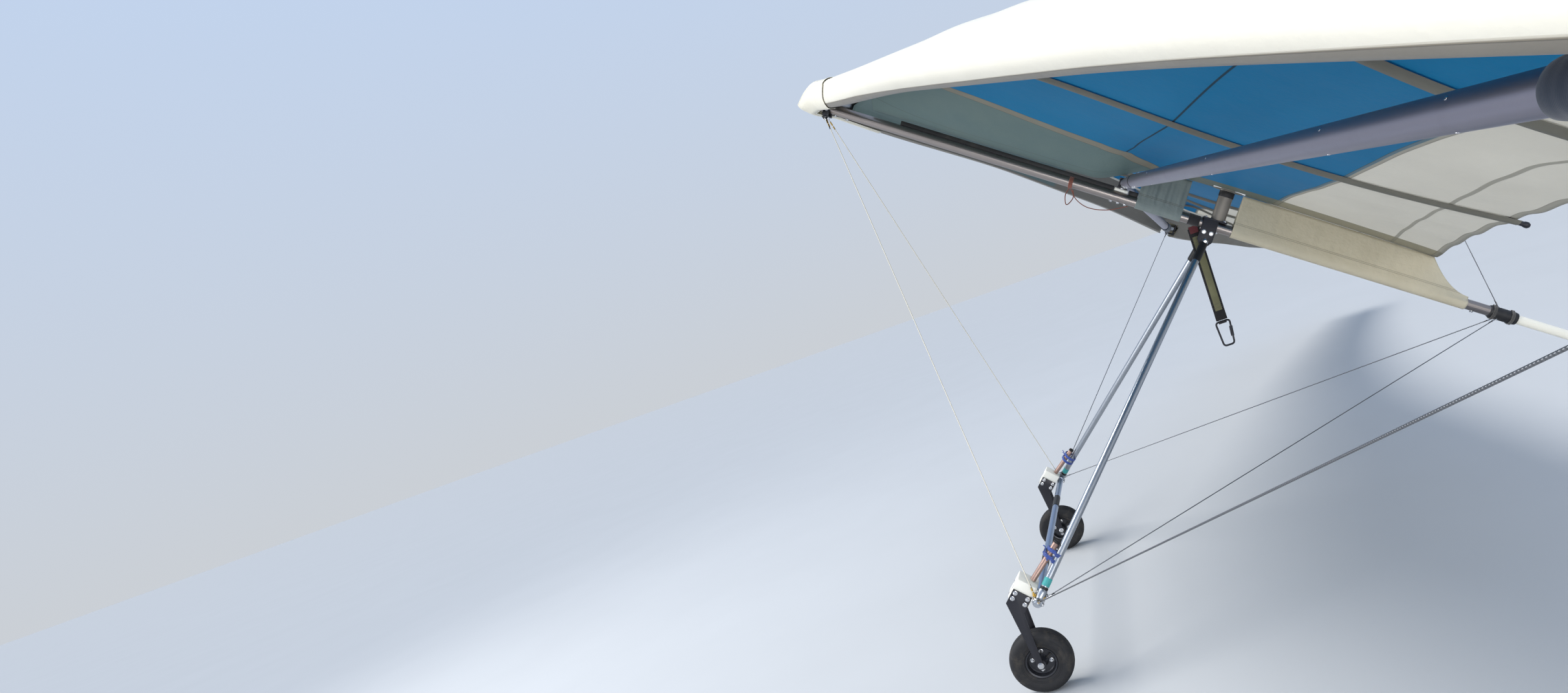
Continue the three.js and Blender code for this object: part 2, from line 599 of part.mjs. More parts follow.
function addWheelMounts() {
  const [wide, deep, tall] = FORK_BLOCK;
  const ahead = 19 + GAP + deep / 2;
  const centre = corner.clone().setX(WHEEL_X).addScaledVector(frameAhead, ahead).addScaledVector(frameDown, 8);
  const axle = vec(WHEEL_X, WHEEL_Y, WHEEL_Z);
  const uprightAxis = corner.clone().sub(uprightTop).normalize();
  const lashed = corner.clone().addScaledVector(uprightAxis, -LEG_REACH)
    .addScaledVector(frameAhead, (UPRIGHT_DIAMETER + LEG_DIAMETER) / 2 + 3);
  const legFoot = centre.clone().addScaledVector(frameDown, -tall / 2 - GAP)
    .addScaledVector(frameAhead, -6).add(vec(14, 0, 0));
  const legAxis = lashed.clone().sub(legFoot).normalize();
  const leg = cut(
    rod(legFoot.clone().addScaledVector(legAxis, -20), lashed, LEG_DIAMETER / 2, 16),
    frameBlock([400, 400, tall + 2 * GAP], centre),
  );
  const plateOutline = [
    centre.clone().addScaledVector(frameAhead, -deep / 2 + 3).addScaledVector(frameDown, -2),
    centre.clone().addScaledVector(frameAhead, deep / 2 - 3).addScaledVector(frameDown, -2),
    centre.clone().addScaledVector(frameAhead, deep / 2 - 3).addScaledVector(frameDown, tall / 2 + 20),
    axle.clone().addScaledVector(frameAhead, 16).addScaledVector(frameDown, 4),
    axle.clone().addScaledVector(frameAhead, 6).addScaledVector(frameDown, 18),
    axle.clone().addScaledVector(frameAhead, -8).addScaledVector(frameDown, 16),
    axle.clone().addScaledVector(frameAhead, -16).addScaledVector(frameDown, 0),
    centre.clone().addScaledVector(frameAhead, -deep / 2 + 3).addScaledVector(frameDown, tall / 2 + 26),
  ];
  const plateInner = wide / 2 + GAP;
  const plate = (offset) => loft([offset, offset + FORK_PLATE].map((x) =>
    plateOutline.map((point) => point.clone().setX(WHEEL_X + x))));
  const fork = join(
    plate(plateInner),
    plate(-plateInner - FORK_PLATE),
    rod(axle.clone().add(vec(-plateInner - FORK_PLATE - 8, 0, 0)),
      axle.clone().add(vec(plateInner + FORK_PLATE + 8, 0, 0)), AXLE_DIAMETER / 2, 24),
  );
  const tyreProfile = [
    [RIM_RADIUS + GAP, -25], [82, -33], [100, -35], [114, -31], [122, -21], [WHEEL_RADIUS, -8],
    [WHEEL_RADIUS, 8], [122, 21], [114, 31], [100, 35], [82, 33], [RIM_RADIUS + GAP, 25], [RIM_RADIUS + GAP, -25],
  ];
  const bore = AXLE_DIAMETER / 2 + 0.6;
  const hub = wide / 2 - 0.4;
  const rimProfile = [
    [bore, -hub], [20, -hub], [22, -8], [50, -4], [RIM_RADIUS - 6, -24], [RIM_RADIUS, -24],
    [RIM_RADIUS, 24], [RIM_RADIUS - 6, 24], [50, 4], [22, 8], [20, hub], [bore, hub], [bore, -hub],
  ];
  const turned = (profile, sides) => {
    const points = profile.map(([radius, along]) => new THREE.Vector2(radius, along));
    return new THREE.LatheGeometry(points, sides).rotateZ(-Math.PI / 2);
  };
  for (const [name, side] of SIDES) {
    add(`wheel_leg_${name}`, mirrored(leg, side), silver());
    add(`fork_block_${name}`, mirrored(frameBlock(FORK_BLOCK, centre), side), whitePlastic());
    add(`fork_${name}`, mirrored(fork, side), blackSteel());
    for (const [piece, profile, sides, material] of [
      ['tyre', tyreProfile, 48, blackRubber()], ['rim', rimProfile, 36, blackSteel()]]) {
      add(`${piece}_${name}`, turned(profile, sides), material).position.set(side * axle.x, axle.y, axle.z);
    }
  }
}

// The lowest and highest stays, from fitting to fitting
function addWires() {
  const runs = [
    ['lower_front_wire', cornerTang, noseTang, LONG_THIMBLE, NOSE_THIMBLE],
    ['lower_side_wire', cornerTang, junction, LONG_THIMBLE, JOINT_THIMBLE],
    ['lower_rear_wire', cornerTang, tailTang, LONG_THIMBLE, LONG_THIMBLE],
    ['upper_side_wire', upperTang, kingpostTop, JOINT_THIMBLE, LONG_THIMBLE],
  ];
  for (const [name, start, end, startFitting, endFitting] of runs) {
    const geometry = wire(start, end, startFitting, endFitting);
    for (const [sideName, side] of SIDES) add(`${name}_${sideName}`, mirrored(geometry, side), wireSteel());
  }
  add('upper_front_wire', wire(noseOver, kingpostTop, NOSE_THIMBLE, LONG_THIMBLE), wireSteel());
  add('upper_rear_wire', wire(tailTang, kingpostTop, LONG_THIMBLE, LONG_THIMBLE), wireSteel());
}

// Keel pockets: a sleeve round the keel and a fin of cloth up to the sail
function addKeelPockets() {
  const sleeveOuter = KEEL_DIAMETER / 2 + 4;
  const sleeveInner = KEEL_DIAMETER / 2 + GAP;
  const pockets = [
    ['keel_pocket_front', 1480, 1680, 1680, 1680],
    ['keel_pocket_rear', 1905, 2930, 2735, 2850],
  ];
  for (const [name, start, end, top, middle] of pockets) {
    const steps = 10;
    const outline = new THREE.Shape();
    outline.moveTo(start, sleeveInner + 1);
    for (let i = 0; i <= steps; i += 1) {
      const y = start + (top - start) * i / steps;
      outline.lineTo(y, rootHeight(y) - SAIL_THICKNESS / 2 - 2 * GAP);
    }
    if (end > top) outline.lineTo(middle, 62);
    outline.lineTo(end, sleeveInner + 1);
    outline.closePath();
    const fin = new THREE.ExtrudeGeometry(outline, { depth: 8, bevelEnabled: false })
      .translate(0, 0, -4).rotateY(Math.PI / 2).rotateX(Math.PI / 2);
    const sleeve = cut(
      rod(vec(0, start, 0), vec(0, end, 0), sleeveOuter, 20),
      rod(vec(0, start - 5, 0), vec(0, end + 5, 0), sleeveInner + 0.3, 24),
    );
    add(name, join(sleeve, fin), whiteCloth());
  }
}

// Height of the sail's middle line over the keel
function rootHeight(y) {
  const line = sailLine(SAIL_INNER);
  const behind = Math.max(line.findIndex((point) => point.y >= y), 1);
  const [from, to] = [line[behind - 1], line[behind]];
  return from.z + (to.z - from.z) * (y - from.y) / (to.y - from.y);
}

// The webbing loop round the keel, and the strap that swings below it.
// The strap hangs plumb when the glider is parked, so it is turned back by the parked pitch.
function addHangStrap() {
  const plumb = new THREE.Matrix4().makeRotationX(parkedPitch)
    .setPosition(0, STRAP_Y, -KEEL_DIAMETER / 2 - 1);
  const half = STRAP_WIDTH / 2;
  const across = (radius, z, reach, sides) => rod(vec(0, -reach, z), vec(0, reach, z), radius, sides);
  const sideways = (radius, z, reach, sides) => rod(vec(-reach, 0, z), vec(reach, 0, z), radius, sides);
  const keelHole = rod(vec(0, STRAP_Y - 60, 0), vec(0, STRAP_Y + 60, 0), KEEL_DIAMETER / 2 + 0.5, 24);
  const ring = rod(vec(0, STRAP_Y - half, 0), vec(0, STRAP_Y + half, 0), KEEL_DIAMETER / 2 + 4, 24);
  const room = half + STRAP_CLEARANCE;
  const swung = (angle) => block([40, 2 * room, STRAP_LENGTH], [0, 0, -STRAP_LENGTH / 2])
    .rotateX(angle).translate(0, 0, -STRAP_HINGE);
  const drop = cut(
    block([STRAP_THICKNESS, STRAP_WIDTH, STRAP_HINGE], [0, 0, -STRAP_HINGE / 2]),
    sideways(room, -STRAP_HINGE, 20, 32),
    swung(-STRAP_FORWARD),
    swung(STRAP_AFT),
  ).applyMatrix4(plumb);
  add('hang_loop', cut(join(ring, drop), keelHole), blackWebbing());
  const eyeZ = -STRAP_LENGTH - 6;
  const bore = CARABINER_RADIUS + 0.6;
  const band = cut(
    join(
      block([STRAP_THICKNESS, STRAP_WIDTH, STRAP_LENGTH - STRAP_HINGE], [0, 0, -(STRAP_LENGTH + STRAP_HINGE) / 2]),
      sideways(half, -STRAP_HINGE, STRAP_THICKNESS / 2, 32),
      across(11, eyeZ, half - 8, 20),
    ),
    across(bore, eyeZ, STRAP_WIDTH, 20),
  );
  add('hang_strap', band.applyMatrix4(plumb), blackWebbing());
  const halfWidth = CARABINER_WIDTH / 2;
  const taper = 8;
  const corners = [
    [-halfWidth, 0], [halfWidth, 0], [halfWidth - taper, -CARABINER_LENGTH], [-halfWidth + taper, -CARABINER_LENGTH],
  ].map(([y, z]) => vec(0, y, eyeZ + z));
  const bars = corners.map((point, i) => rod(point, corners[(i + 1) % 4], CARABINER_RADIUS, 12));
  const knuckles = corners.map((point) =>
    new THREE.SphereGeometry(CARABINER_RADIUS + 0.2, 12, 8).translate(point.x, point.y, point.z));
  add('carabiner', join(...bars, ...knuckles).applyMatrix4(plumb), blackSteel());
}

addKeel();
addNose();
addWing();
addCrossbar();
addKingpost();
addControlFrame();
addWheelMounts();
addWires();
addKeelPockets();
addHangStrap();

const glider = new THREE.Group();
airframe.rotation.x = -parkedPitch;
glider.add(airframe);
glider.updateMatrixWorld(true);
const extent = new THREE.Box3().setFromObject(glider, true);
airframe.position.set(0, -(extent.min.y + extent.max.y) / 2, -extent.min.z);

export default glider;
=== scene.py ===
"""Looks of the parked tandem hang glider.

Pieces are built in the keel frame, in metres: X to the left wing, Y aft from the nose, Z up,
with the keel tube's axis on Y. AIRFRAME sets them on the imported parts."""

import math

import bmesh
import bpy
import numpy as np
from mathutils import Matrix, Vector


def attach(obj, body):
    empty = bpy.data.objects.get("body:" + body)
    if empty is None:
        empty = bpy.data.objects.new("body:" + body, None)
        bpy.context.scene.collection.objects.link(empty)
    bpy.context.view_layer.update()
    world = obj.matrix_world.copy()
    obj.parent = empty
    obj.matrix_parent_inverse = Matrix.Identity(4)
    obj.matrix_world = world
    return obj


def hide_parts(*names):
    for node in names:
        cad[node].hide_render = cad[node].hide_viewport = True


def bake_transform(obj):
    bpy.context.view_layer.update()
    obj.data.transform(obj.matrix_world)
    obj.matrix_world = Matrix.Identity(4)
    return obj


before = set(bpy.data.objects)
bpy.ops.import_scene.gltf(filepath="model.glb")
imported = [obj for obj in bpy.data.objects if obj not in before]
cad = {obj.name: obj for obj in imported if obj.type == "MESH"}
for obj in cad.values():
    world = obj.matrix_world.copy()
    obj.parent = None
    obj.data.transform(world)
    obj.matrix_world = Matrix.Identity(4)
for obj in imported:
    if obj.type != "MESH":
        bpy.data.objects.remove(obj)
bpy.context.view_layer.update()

# Placing and the camera, fitted to the photograph
PITCH = math.radians(36.46695)
AIRFRAME = Matrix.Translation((0.0, -1.672930, 2.534231)) @ Matrix.Rotation(-PITCH, 4, "X")
IMAGE_WIDTH = 2280
FOCAL_PIXELS = 1138.32
CENTRE_RIGHT = 349.56
CENTRE_DOWN = 49.85
SENSOR = 36.0
CAMERA_PLACE = Vector((3.4813, 1.4054, -0.2193))
CAMERA_FORWARD = Vector((-0.9808, -0.0443, -0.1899))
CAMERA_RIGHT = Vector((-0.0994, 0.9516, 0.2909))

# Main sizes, as in the CAD source
NOSE_HALF_ANGLE = math.radians(59)
TIP_BEND = math.radians(5)
EDGE_STRAIGHT = 3.6
EDGE_BENT = 0.83
EDGE_BENDS = 3
TIP_SLOPES = (0.06, 0.10, 0.14)
EDGE_LENGTH = EDGE_STRAIGHT + EDGE_BENDS * EDGE_BENT
EDGE_Z = 0.0521
EDGE_RISE = 0.0103
EDGE_RADIUS = 0.026
POCKET_TOP = 0.170
POCKET_REAR = 0.112
NOSE_HEIGHT = 0.3
NOSE_TAPER = 2.15
NOSE_BULGE = 0.45
NOSE_DROOP = 0.060
CONE_END = 0.40
ROOT_TRAILING_EDGE = 2.75
ROOT_LOW = 0.048
ROOT_RISE = (1.25, 1.55)
ROOT_WIDTH = 0.3
BATTENS = (0.955, 1.92, 2.9, 3.8, 4.55)
KEEL_RADIUS = 0.0215
APEX = np.array((0.0, 1.807, -0.040))
RAKE = math.radians(9)
UPRIGHT_LENGTH = 1.688
BASE_HALF = 0.782
KINGPOST_Y = 1.835
KINGPOST_FOOT = 0.0281
KINGPOST_HEIGHT = 1.15
JUNCTION_X = 3.09
CROSSBAR_INNER = np.array((0.046, 1.404, 0.058))
CROSSBAR_OUTER = np.array((2.870, 1.836, 0.064))
CROSSBAR_RADIUS = 0.026
PAD_RADIUS = 0.0325
FRAME_RADIUS = 0.015
LEG_RADIUS = 0.012
GAP = 0.0003
SLEEVE_START = 0.907
WHEEL = np.array((0.720, 1.661, -1.767))
SIDES = (("left", 1), ("right", -1))


def vec(x, y, z):
    return np.array((x, y, z), float)


def unit(v):
    return np.asarray(v, float) / np.linalg.norm(v)


def square_pair(axis):
    """Two directions square to an axis and to each other."""
    guess = vec(0, 0, 1) if abs(axis[2]) < 0.9 else vec(1, 0, 0)
    side = unit(guess - axis * (guess @ axis))
    return side, np.cross(axis, side)


def turn_steps(count):
    """Angles evenly placed round a full turn."""
    return np.linspace(0, 2 * math.pi, count, endpoint=False)


def grid_faces(rows, columns):
    """Faces of a sheet whose points run along each row in turn."""
    return [(i * columns + j, (i + 1) * columns + j, (i + 1) * columns + j + 1, i * columns + j + 1)
            for i in range(rows - 1) for j in range(columns - 1)]


# Mesh building
class Body:
    """One mesh made of closed pieces. Each piece takes a material slot."""

    def __init__(self):
        self.points = []
        self.faces = []
        self.slots = []

    def put(self, points, faces, slot=0):
        first = len(self.points)
        self.points.extend(tuple(p) for p in points)
        self.faces.extend(tuple(first + i for i in face) for face in faces)
        self.slots.extend([slot] * len(faces))

    def rings(self, rings, slot=0, caps=True, around=False):
        """Skin through rings of points. With around, the last ring joins the first."""
        n, m = len(rings), len(rings[0])
        faces = []
        for i in range(n if around else n - 1):
            a, b = i * m, (i + 1) % n * m
            for j in range(m):
                k = (j + 1) % m
                faces.append((a + j, a + k, b + k, b + j))
        if caps and not around:
            faces.append(tuple(range(m))[::-1])
            faces.append(tuple((n - 1) * m + j for j in range(m)))
        self.put([p for ring in rings for p in ring], faces, slot)

    def tube(self, path, radius, sides=12, slot=0, around=False, flat=(1.0, 1.0), up=None):
        """A tube along a path. Its radius is one number or one a point, and flat scales its two directions."""
        path = [np.asarray(p, float) for p in path]
        n = len(path)
        radii = radius if hasattr(radius, "__len__") else [radius] * n
        side = None
        rings = []
        for i in range(n):
            if around:
                along = unit(path[(i + 1) % n] - path[i - 1])
            else:
                along = unit(path[min(i + 1, n - 1)] - path[max(i - 1, 0)])
            guess = side if side is not None else vec(*(up or (0.0, 0.0, 1.0)))
            if side is None and abs(guess @ along) > 0.95:
                guess = vec(1, 0, 0)
            side = unit(guess - along * (guess @ along))
            other = np.cross(along, side)
            rings.append([
                path[i] + radii[i] * (flat[0] * math.cos(t) * side + flat[1] * math.sin(t) * other)
                for t in (2 * math.pi * j / sides for j in range(sides))
            ])
        self.rings(rings, slot, around=around)

    def rod(self, start, end, radius, sides=16, slot=0, end_radius=None):
        self.tube([start, end], [radius, radius if end_radius is None else end_radius], sides, slot)

    def lathe(self, start, axis, profile, sides=32, slot=0):
        """A turned piece. The profile has (distance along the axis, radius) pairs."""
        start, axis = np.asarray(start, float), unit(axis)
        side, other = square_pair(axis)
        rings = [[
            start + axis * along + max(radius, 1e-5) * (math.cos(t) * side + math.sin(t) * other)
            for t in (2 * math.pi * j / sides for j in range(sides))
        ] for along, radius in profile]
        self.rings(rings, slot)

    def block(self, centre, size, axes=None, round_by=0.002, slot=0, steps=2):
        """A block with rounded edges. Its axes are the rows of axes."""
        bm = bmesh.new()
        bmesh.ops.create_cube(bm, size=1.0)
        for v in bm.verts:
            v.co = Vector((v.co.x * size[0], v.co.y * size[1], v.co.z * size[2]))
        if round_by:
            bmesh.ops.bevel(bm, geom=bm.edges[:], offset=round_by, segments=steps, affect="EDGES",
                            profile=0.5)
        axes = np.eye(3) if axes is None else np.array([unit(a) for a in axes])
        if np.linalg.det(axes) < 0:
            axes[0] = -axes[0]
        points = [np.asarray(centre) + np.array(v.co) @ axes for v in bm.verts]
        bm.verts.index_update()
        self.put(points, [[v.index for v in f.verts] for f in bm.faces], slot)
        bm.free()

    def plate(self, outline, thickness, normal, round_by=0.0012, slot=0):
        """A flat plate from its outline's points, thickened along the normal to both sides."""
        normal = unit(normal)
        bm = bmesh.new()
        verts = [bm.verts.new(tuple(np.asarray(p) - normal * thickness / 2)) for p in outline]
        face = bm.faces.new(verts)
        moved = bmesh.ops.extrude_face_region(bm, geom=[face])["geom"]
        bmesh.ops.translate(bm, verts=[v for v in moved if isinstance(v, bmesh.types.BMVert)],
                            vec=Vector(normal * thickness))
        bmesh.ops.recalc_face_normals(bm, faces=bm.faces[:])
        if round_by:
            bmesh.ops.bevel(bm, geom=bm.edges[:], offset=round_by, segments=2, affect="EDGES", profile=0.5)
        bm.verts.index_update()
        self.put([np.array(v.co) for v in bm.verts], [[v.index for v in f.verts] for f in bm.faces], slot)
        bm.free()

    def bolt(self, place, axis, radius=0.004, slot=0, washer=True):
        """A hexagon head on a washer, standing on its place along the axis."""
        axis = unit(axis)
        base = np.asarray(place, float)
        if washer:
            self.lathe(base - axis * 0.0006, axis,
                       [(0, 0), (0, radius * 2.1), (0.0012, radius * 2.1), (0.0015, radius * 1.9),
                        (0.0016, 0)], 20, slot)
        self.lathe(base + axis * 0.0008, axis, [
            (0, 0), (0, radius * 1.65), (radius, radius * 1.65), (radius * 1.25, radius * 1.35),
            (radius * 1.3, 0)], 6, slot)

    def mirrored(self):
        other = Body()
        other.points = [(-x, y, z) for x, y, z in self.points]
        other.faces = [tuple(reversed(face)) for face in self.faces]
        other.slots = list(self.slots)
        return other

    def make(self, name, materials, slot=None, side=1, rides="airframe", angle=35.0):
        """Makes the object, mirrored for the right side. With a slot it replaces the node of its name."""
        body = self if side > 0 else self.mirrored()
        mesh = bpy.data.meshes.new(name)
        mesh.from_pydata(body.points, [], body.faces)
        mesh.transform(AIRFRAME)
        for material in materials:
            mesh.materials.append(material)
        mesh.polygons.foreach_set("material_index", body.slots)
        mesh.polygons.foreach_set("use_smooth", [True] * len(body.faces))
        mesh.set_sharp_from_angle(angle=math.radians(angle))
        mesh.update()
        piece = bpy.data.objects.new(name, mesh)
        bpy.context.collection.objects.link(piece)
        if rides:
            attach(piece, rides)
        if slot:
            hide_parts(name)
        return piece


def give(piece, name, values):
    """Stores one number at each point of a piece, for its material."""
    attribute = piece.data.attributes.new(name, "FLOAT", "POINT")
    attribute.data.foreach_set("value", np.asarray(values, np.float32))


def solidify(piece, thickness, offset=0.0):
    modifier = piece.modifiers.new("thickness", "SOLIDIFY")
    modifier.thickness = thickness
    modifier.offset = offset
    return modifier


# Material building
class Shader:
    """A material's nodes, made one call at a time."""

    def __init__(self, name):
        self.material = bpy.data.materials.new(name)
        self.material.use_nodes = True
        self.tree = self.material.node_tree
        self.tree.nodes.clear()
        self.output = self.tree.nodes.new("ShaderNodeOutputMaterial")
        row_place = self.tree.nodes.new("ShaderNodeTexCoord").outputs["Object"]
        to_keel = AIRFRAME.inverted()
        turned = {"Vector": row_place, "Location": to_keel.translation, "Rotation": to_keel.to_euler()}
        self.place = self.node("ShaderNodeMapping", turned).outputs[0]

    def feed(self, socket, value):
        if isinstance(value, bpy.types.NodeSocket):
            self.tree.links.new(value, socket)
        else:
            socket.default_value = value

    def node(self, kind, inputs=None, **settings):
        made = self.tree.nodes.new(kind)
        for name, value in settings.items():
            setattr(made, name, value)
        for name, value in (inputs or {}).items():
            self.feed(made.inputs[name], value)
        return made

    def math(self, operation, a, b=0.0, c=0.0, clamp=False):
        made = self.node("ShaderNodeMath", {0: a, 1: b, 2: c}, operation=operation, use_clamp=clamp)
        return made.outputs[0]

    def step(self, value, start, end, low=0.0, high=1.0):
        made = self.node("ShaderNodeMapRange", {
            "Value": value, "From Min": start, "From Max": end, "To Min": low, "To Max": high},
            interpolation_type="SMOOTHSTEP")
        return made.outputs["Result"]

    def mix(self, factor, a, b):
        made = self.node("ShaderNodeMix", data_type="RGBA")
        for index, value in ((0, factor), (6, a), (7, b)):
            self.feed(made.inputs[index], value)
        return made.outputs[2]

    def noise(self, scale, detail=4.0, rough=0.55, place=None, stretch=None):
        place = place or self.place
        if stretch:
            place = self.node("ShaderNodeMapping", {"Vector": place, "Scale": stretch}).outputs[0]
        made = self.node("ShaderNodeTexNoise", {
            "Vector": place, "Scale": scale, "Detail": detail, "Roughness": rough})
        return made.outputs["Fac"]

    def value(self, name):
        return self.node("ShaderNodeAttribute", attribute_name=name).outputs["Fac"]

    def along(self, axis):
        return self.node("ShaderNodeSeparateXYZ", {0: self.place}).outputs[axis]

    def mark(self, value, at, half, core=0.6):
        """A line where the value is near one number, softened outside its core."""
        away = self.math("ABSOLUTE", self.math("SUBTRACT", value, at))
        return self.step(away, half * core, half, 1.0, 0.0)

    def bump(self, height, strength, distance, before=None):
        inputs = {"Height": height, "Strength": strength, "Distance": distance}
        if before is not None:
            inputs["Normal"] = before
        return self.node("ShaderNodeBump", inputs).outputs[0]

    def surface(self, **inputs):
        names = {"colour": "Base Color", "metal": "Metallic", "rough": "Roughness", "normal": "Normal",
                 "coat": "Coat Weight", "sheen": "Sheen Weight", "anisotropic": "Anisotropic",
                 "coat_rough": "Coat Roughness", "specular": "Specular IOR Level",
                 "through": "Transmission Weight"}
        made = self.node("ShaderNodeBsdfPrincipled", {names[k]: v for k, v in inputs.items()})
        return made.outputs[0]

    def finish(self, shader):
        self.tree.links.new(shader, self.output.inputs["Surface"])
        return self.material


def rgb(red, green, blue):
    """A colour of the screen's 0 to 255 scale as linear light."""
    def linear(c):
        c /= 255
        return c / 12.92 if c <= 0.04045 else ((c + 0.055) / 1.055) ** 2.4
    return (linear(red), linear(green), linear(blue), 1.0)


def tube_metal(name, colour, rough=0.26, metal=1.0, brushed=(60, 4, 60), grime=0.2):
    """Drawn, anodised tube: fine streaks along it, faint smears and dust patches."""
    s = Shader(name)
    streak = s.noise(9.0, 3.0, stretch=brushed)
    smear = s.noise(5.0, 5.0)
    roughness = s.math("ADD", s.step(smear, 0.2, 0.85, rough - 0.02, rough + 0.05),
                       s.math("MULTIPLY", streak, 0.08))
    dull = tuple(c * 0.72 for c in colour[:3]) + (1.0,)
    tint = s.mix(s.math("MULTIPLY", s.step(s.noise(14.0, 8.0), 0.52, 0.72), grime), colour, dull)
    normal = s.bump(streak, 0.12, 0.0004)
    return s.finish(s.surface(colour=tint, metal=metal, rough=roughness, normal=normal))


def painted(name, colour, rough=0.42, metal=0.0, wear=0.25, worn=rgb(150, 150, 152), coat=0.0):
    """Painted or anodised metal with worn places and a fine orange-peel."""
    s = Shader(name)
    rub = s.step(s.noise(38.0, 8.0, 0.7), 0.60, 0.74, 0.0, wear)
    roughness = s.step(s.noise(12.0, 5.0), 0.3, 0.7, rough - 0.08, rough + 0.12)
    tint = s.mix(rub, colour, worn)
    normal = s.bump(s.noise(420.0, 2.0), 0.10, 0.0004)
    return s.finish(s.surface(colour=tint, metal=metal, rough=roughness, normal=normal, coat=coat))


def rubber(name, colour, dust=rgb(120, 112, 100), rough=0.72, dusty=0.35):
    s = Shader(name)
    film = s.step(s.noise(16.0, 7.0, 0.65), 0.48, 0.78, 0.0, dusty)
    tint = s.mix(film, colour, dust)
    normal = s.bump(s.noise(260.0, 3.0), 0.25, 0.0006)
    return s.finish(s.surface(colour=tint, rough=s.math("ADD", film, rough, clamp=True), normal=normal,
                              specular=0.4))


def woven(name, colour, other, pitch=0.0011, rough=0.82, fuzz=0.35):
    """Webbing or padded cover: a twill of crossing threads."""
    s = Shader(name)
    scale = 2 * math.pi / pitch
    x, y, z = (s.along(i) for i in range(3))
    warp = s.math("SINE", s.math("MULTIPLY", s.math("ADD", x, z), scale))
    weft = s.math("SINE", s.math("MULTIPLY", s.math("SUBTRACT", y, z), scale * 0.8))
    weave = s.math("MULTIPLY_ADD", s.math("MULTIPLY", warp, weft), 0.5, 0.5)
    tint = s.mix(s.math("MULTIPLY", weave, 0.7), colour, other)
    tint = s.mix(s.step(s.noise(9.0, 6.0), 0.45, 0.75, 0.0, fuzz), tint,
                 tuple(c * 1.8 + 0.01 for c in other[:3]) + (1.0,))
    normal = s.bump(weave, 0.5, 0.0005, s.bump(s.noise(30.0, 5.0), 0.3, 0.003))
    return s.finish(s.surface(colour=tint, rough=rough, normal=normal, sheen=0.3, specular=0.2))


def strand(name, colour, turns=900.0, rough=0.35, metal=1.0):
    """Twisted strands along a wire or cord."""
    s = Shader(name)
    x, y, z = (s.along(i) for i in range(3))
    lay = s.math("SINE", s.math("MULTIPLY", s.math("ADD", s.math("ADD", x, y), z), turns))
    tint = s.mix(s.math("MULTIPLY_ADD", lay, 0.2, 0.2), colour, tuple(c * 0.4 for c in colour[:3]) + (1.0,))
    return s.finish(s.surface(colour=tint, rough=rough, metal=metal, normal=s.bump(lay, 0.4, 0.0005)))


def cloth(name, build, glow=0.5, rough=0.55, wrinkle=0.5, weave=True):
    """Coated sailcloth that lets light through. build(shader) gives its colour and its seams' height."""
    s = Shader(name)
    colour, seams = build(s)
    folds = s.noise(3.2, 6.0, 0.6)
    crinkle = s.noise(26.0, 5.0, 0.6)
    normal = s.bump(folds, wrinkle, 0.03)
    normal = s.bump(crinkle, 0.22 * wrinkle, 0.008, normal)
    if weave:
        threads = s.noise(900.0, 1.0)
        normal = s.bump(threads, 0.08, 0.0005, normal)
    if seams is not None:
        normal = s.bump(seams, 0.8, 0.0012, normal)
    front = s.surface(colour=colour, rough=rough, normal=normal, sheen=0.08, specular=0.22)
    back = s.node("ShaderNodeBsdfTranslucent", {"Color": colour, "Normal": normal}).outputs[0]
    both = s.node("ShaderNodeMixShader", {0: glow, 1: front, 2: back}).outputs[0]
    return s.finish(both)


SILVER = tube_metal("silver_tube", rgb(168, 173, 180), 0.28)
CROSS = tube_metal("violet_silver_tube", rgb(140, 138, 150), 0.36)
KEEL_TUBE = tube_metal("brown_grey_tube", rgb(150, 142, 138), 0.30)
BLUE_TUBE = tube_metal("blue_grey_tube", rgb(138, 156, 182), 0.25)
WHITE_TUBE = painted("white_tube", rgb(228, 224, 210), 0.4, wear=0.08, worn=rgb(170, 165, 150))
BLACK = painted("black_fitting", rgb(38, 38, 44), 0.42, metal=0.4, wear=0.3, worn=rgb(120, 120, 125))
STEEL = painted("plated_steel", rgb(200, 200, 202), 0.25, metal=1.0, wear=0.3, worn=rgb(120, 118, 112))
BRASS = painted("brass", rgb(196, 160, 84), 0.3, metal=1.0, wear=0.25, worn=rgb(120, 96, 50))
RIM = painted("rim_paint", rgb(48, 49, 54), 0.4, metal=0.5, wear=0.3)
NYLON = painted("white_nylon", rgb(226, 224, 214), 0.5, wear=0.2, worn=rgb(168, 160, 145))
RUBBER = rubber("rubber", rgb(22, 22, 24), dusty=0.2)
TYRE = rubber("tyre_rubber", rgb(26, 26, 29), dusty=0.3)
WRAP = rubber("black_tape", rgb(24, 24, 26), rough=0.5, dusty=0.12)
TEAL = rubber("teal_tape", rgb(60, 150, 150), rough=0.5, dusty=0.15)
POST_METAL = tube_metal("grey_brown_post", rgb(128, 122, 114), 0.42, metal=0.6)
PINK = tube_metal("warm_tube", rgb(158, 132, 122), 0.4, metal=0.8)
WEBBING = woven("black_webbing", rgb(22, 21, 23), rgb(44, 42, 44), 0.0016)
OLIVE = woven("olive_webbing", rgb(92, 90, 66), rgb(120, 118, 88), 0.0016)
MAROON = woven("maroon_webbing", rgb(74, 30, 34), rgb(104, 46, 48), 0.0016)
NAVY = woven("navy_cover", rgb(22, 32, 48), rgb(36, 48, 66), 0.0014)
BLUE_CORD = woven("blue_cord", rgb(34, 58, 132), rgb(74, 98, 168), 0.002, fuzz=0.5)
RED_CORD = woven("red_brown_cord", rgb(110, 58, 46), rgb(150, 92, 74), 0.002)
WIRE = strand("stay_wire", rgb(120, 122, 126))
# Painted sunlight: the lower front wires' steel drawn in a pale cream
SUNLIT_WIRE = painted("painted_sunlit_wire", rgb(206, 200, 184), 0.4, wear=0.1)
THREAD = woven("thread", rgb(58, 56, 54), rgb(90, 88, 84), 0.001)


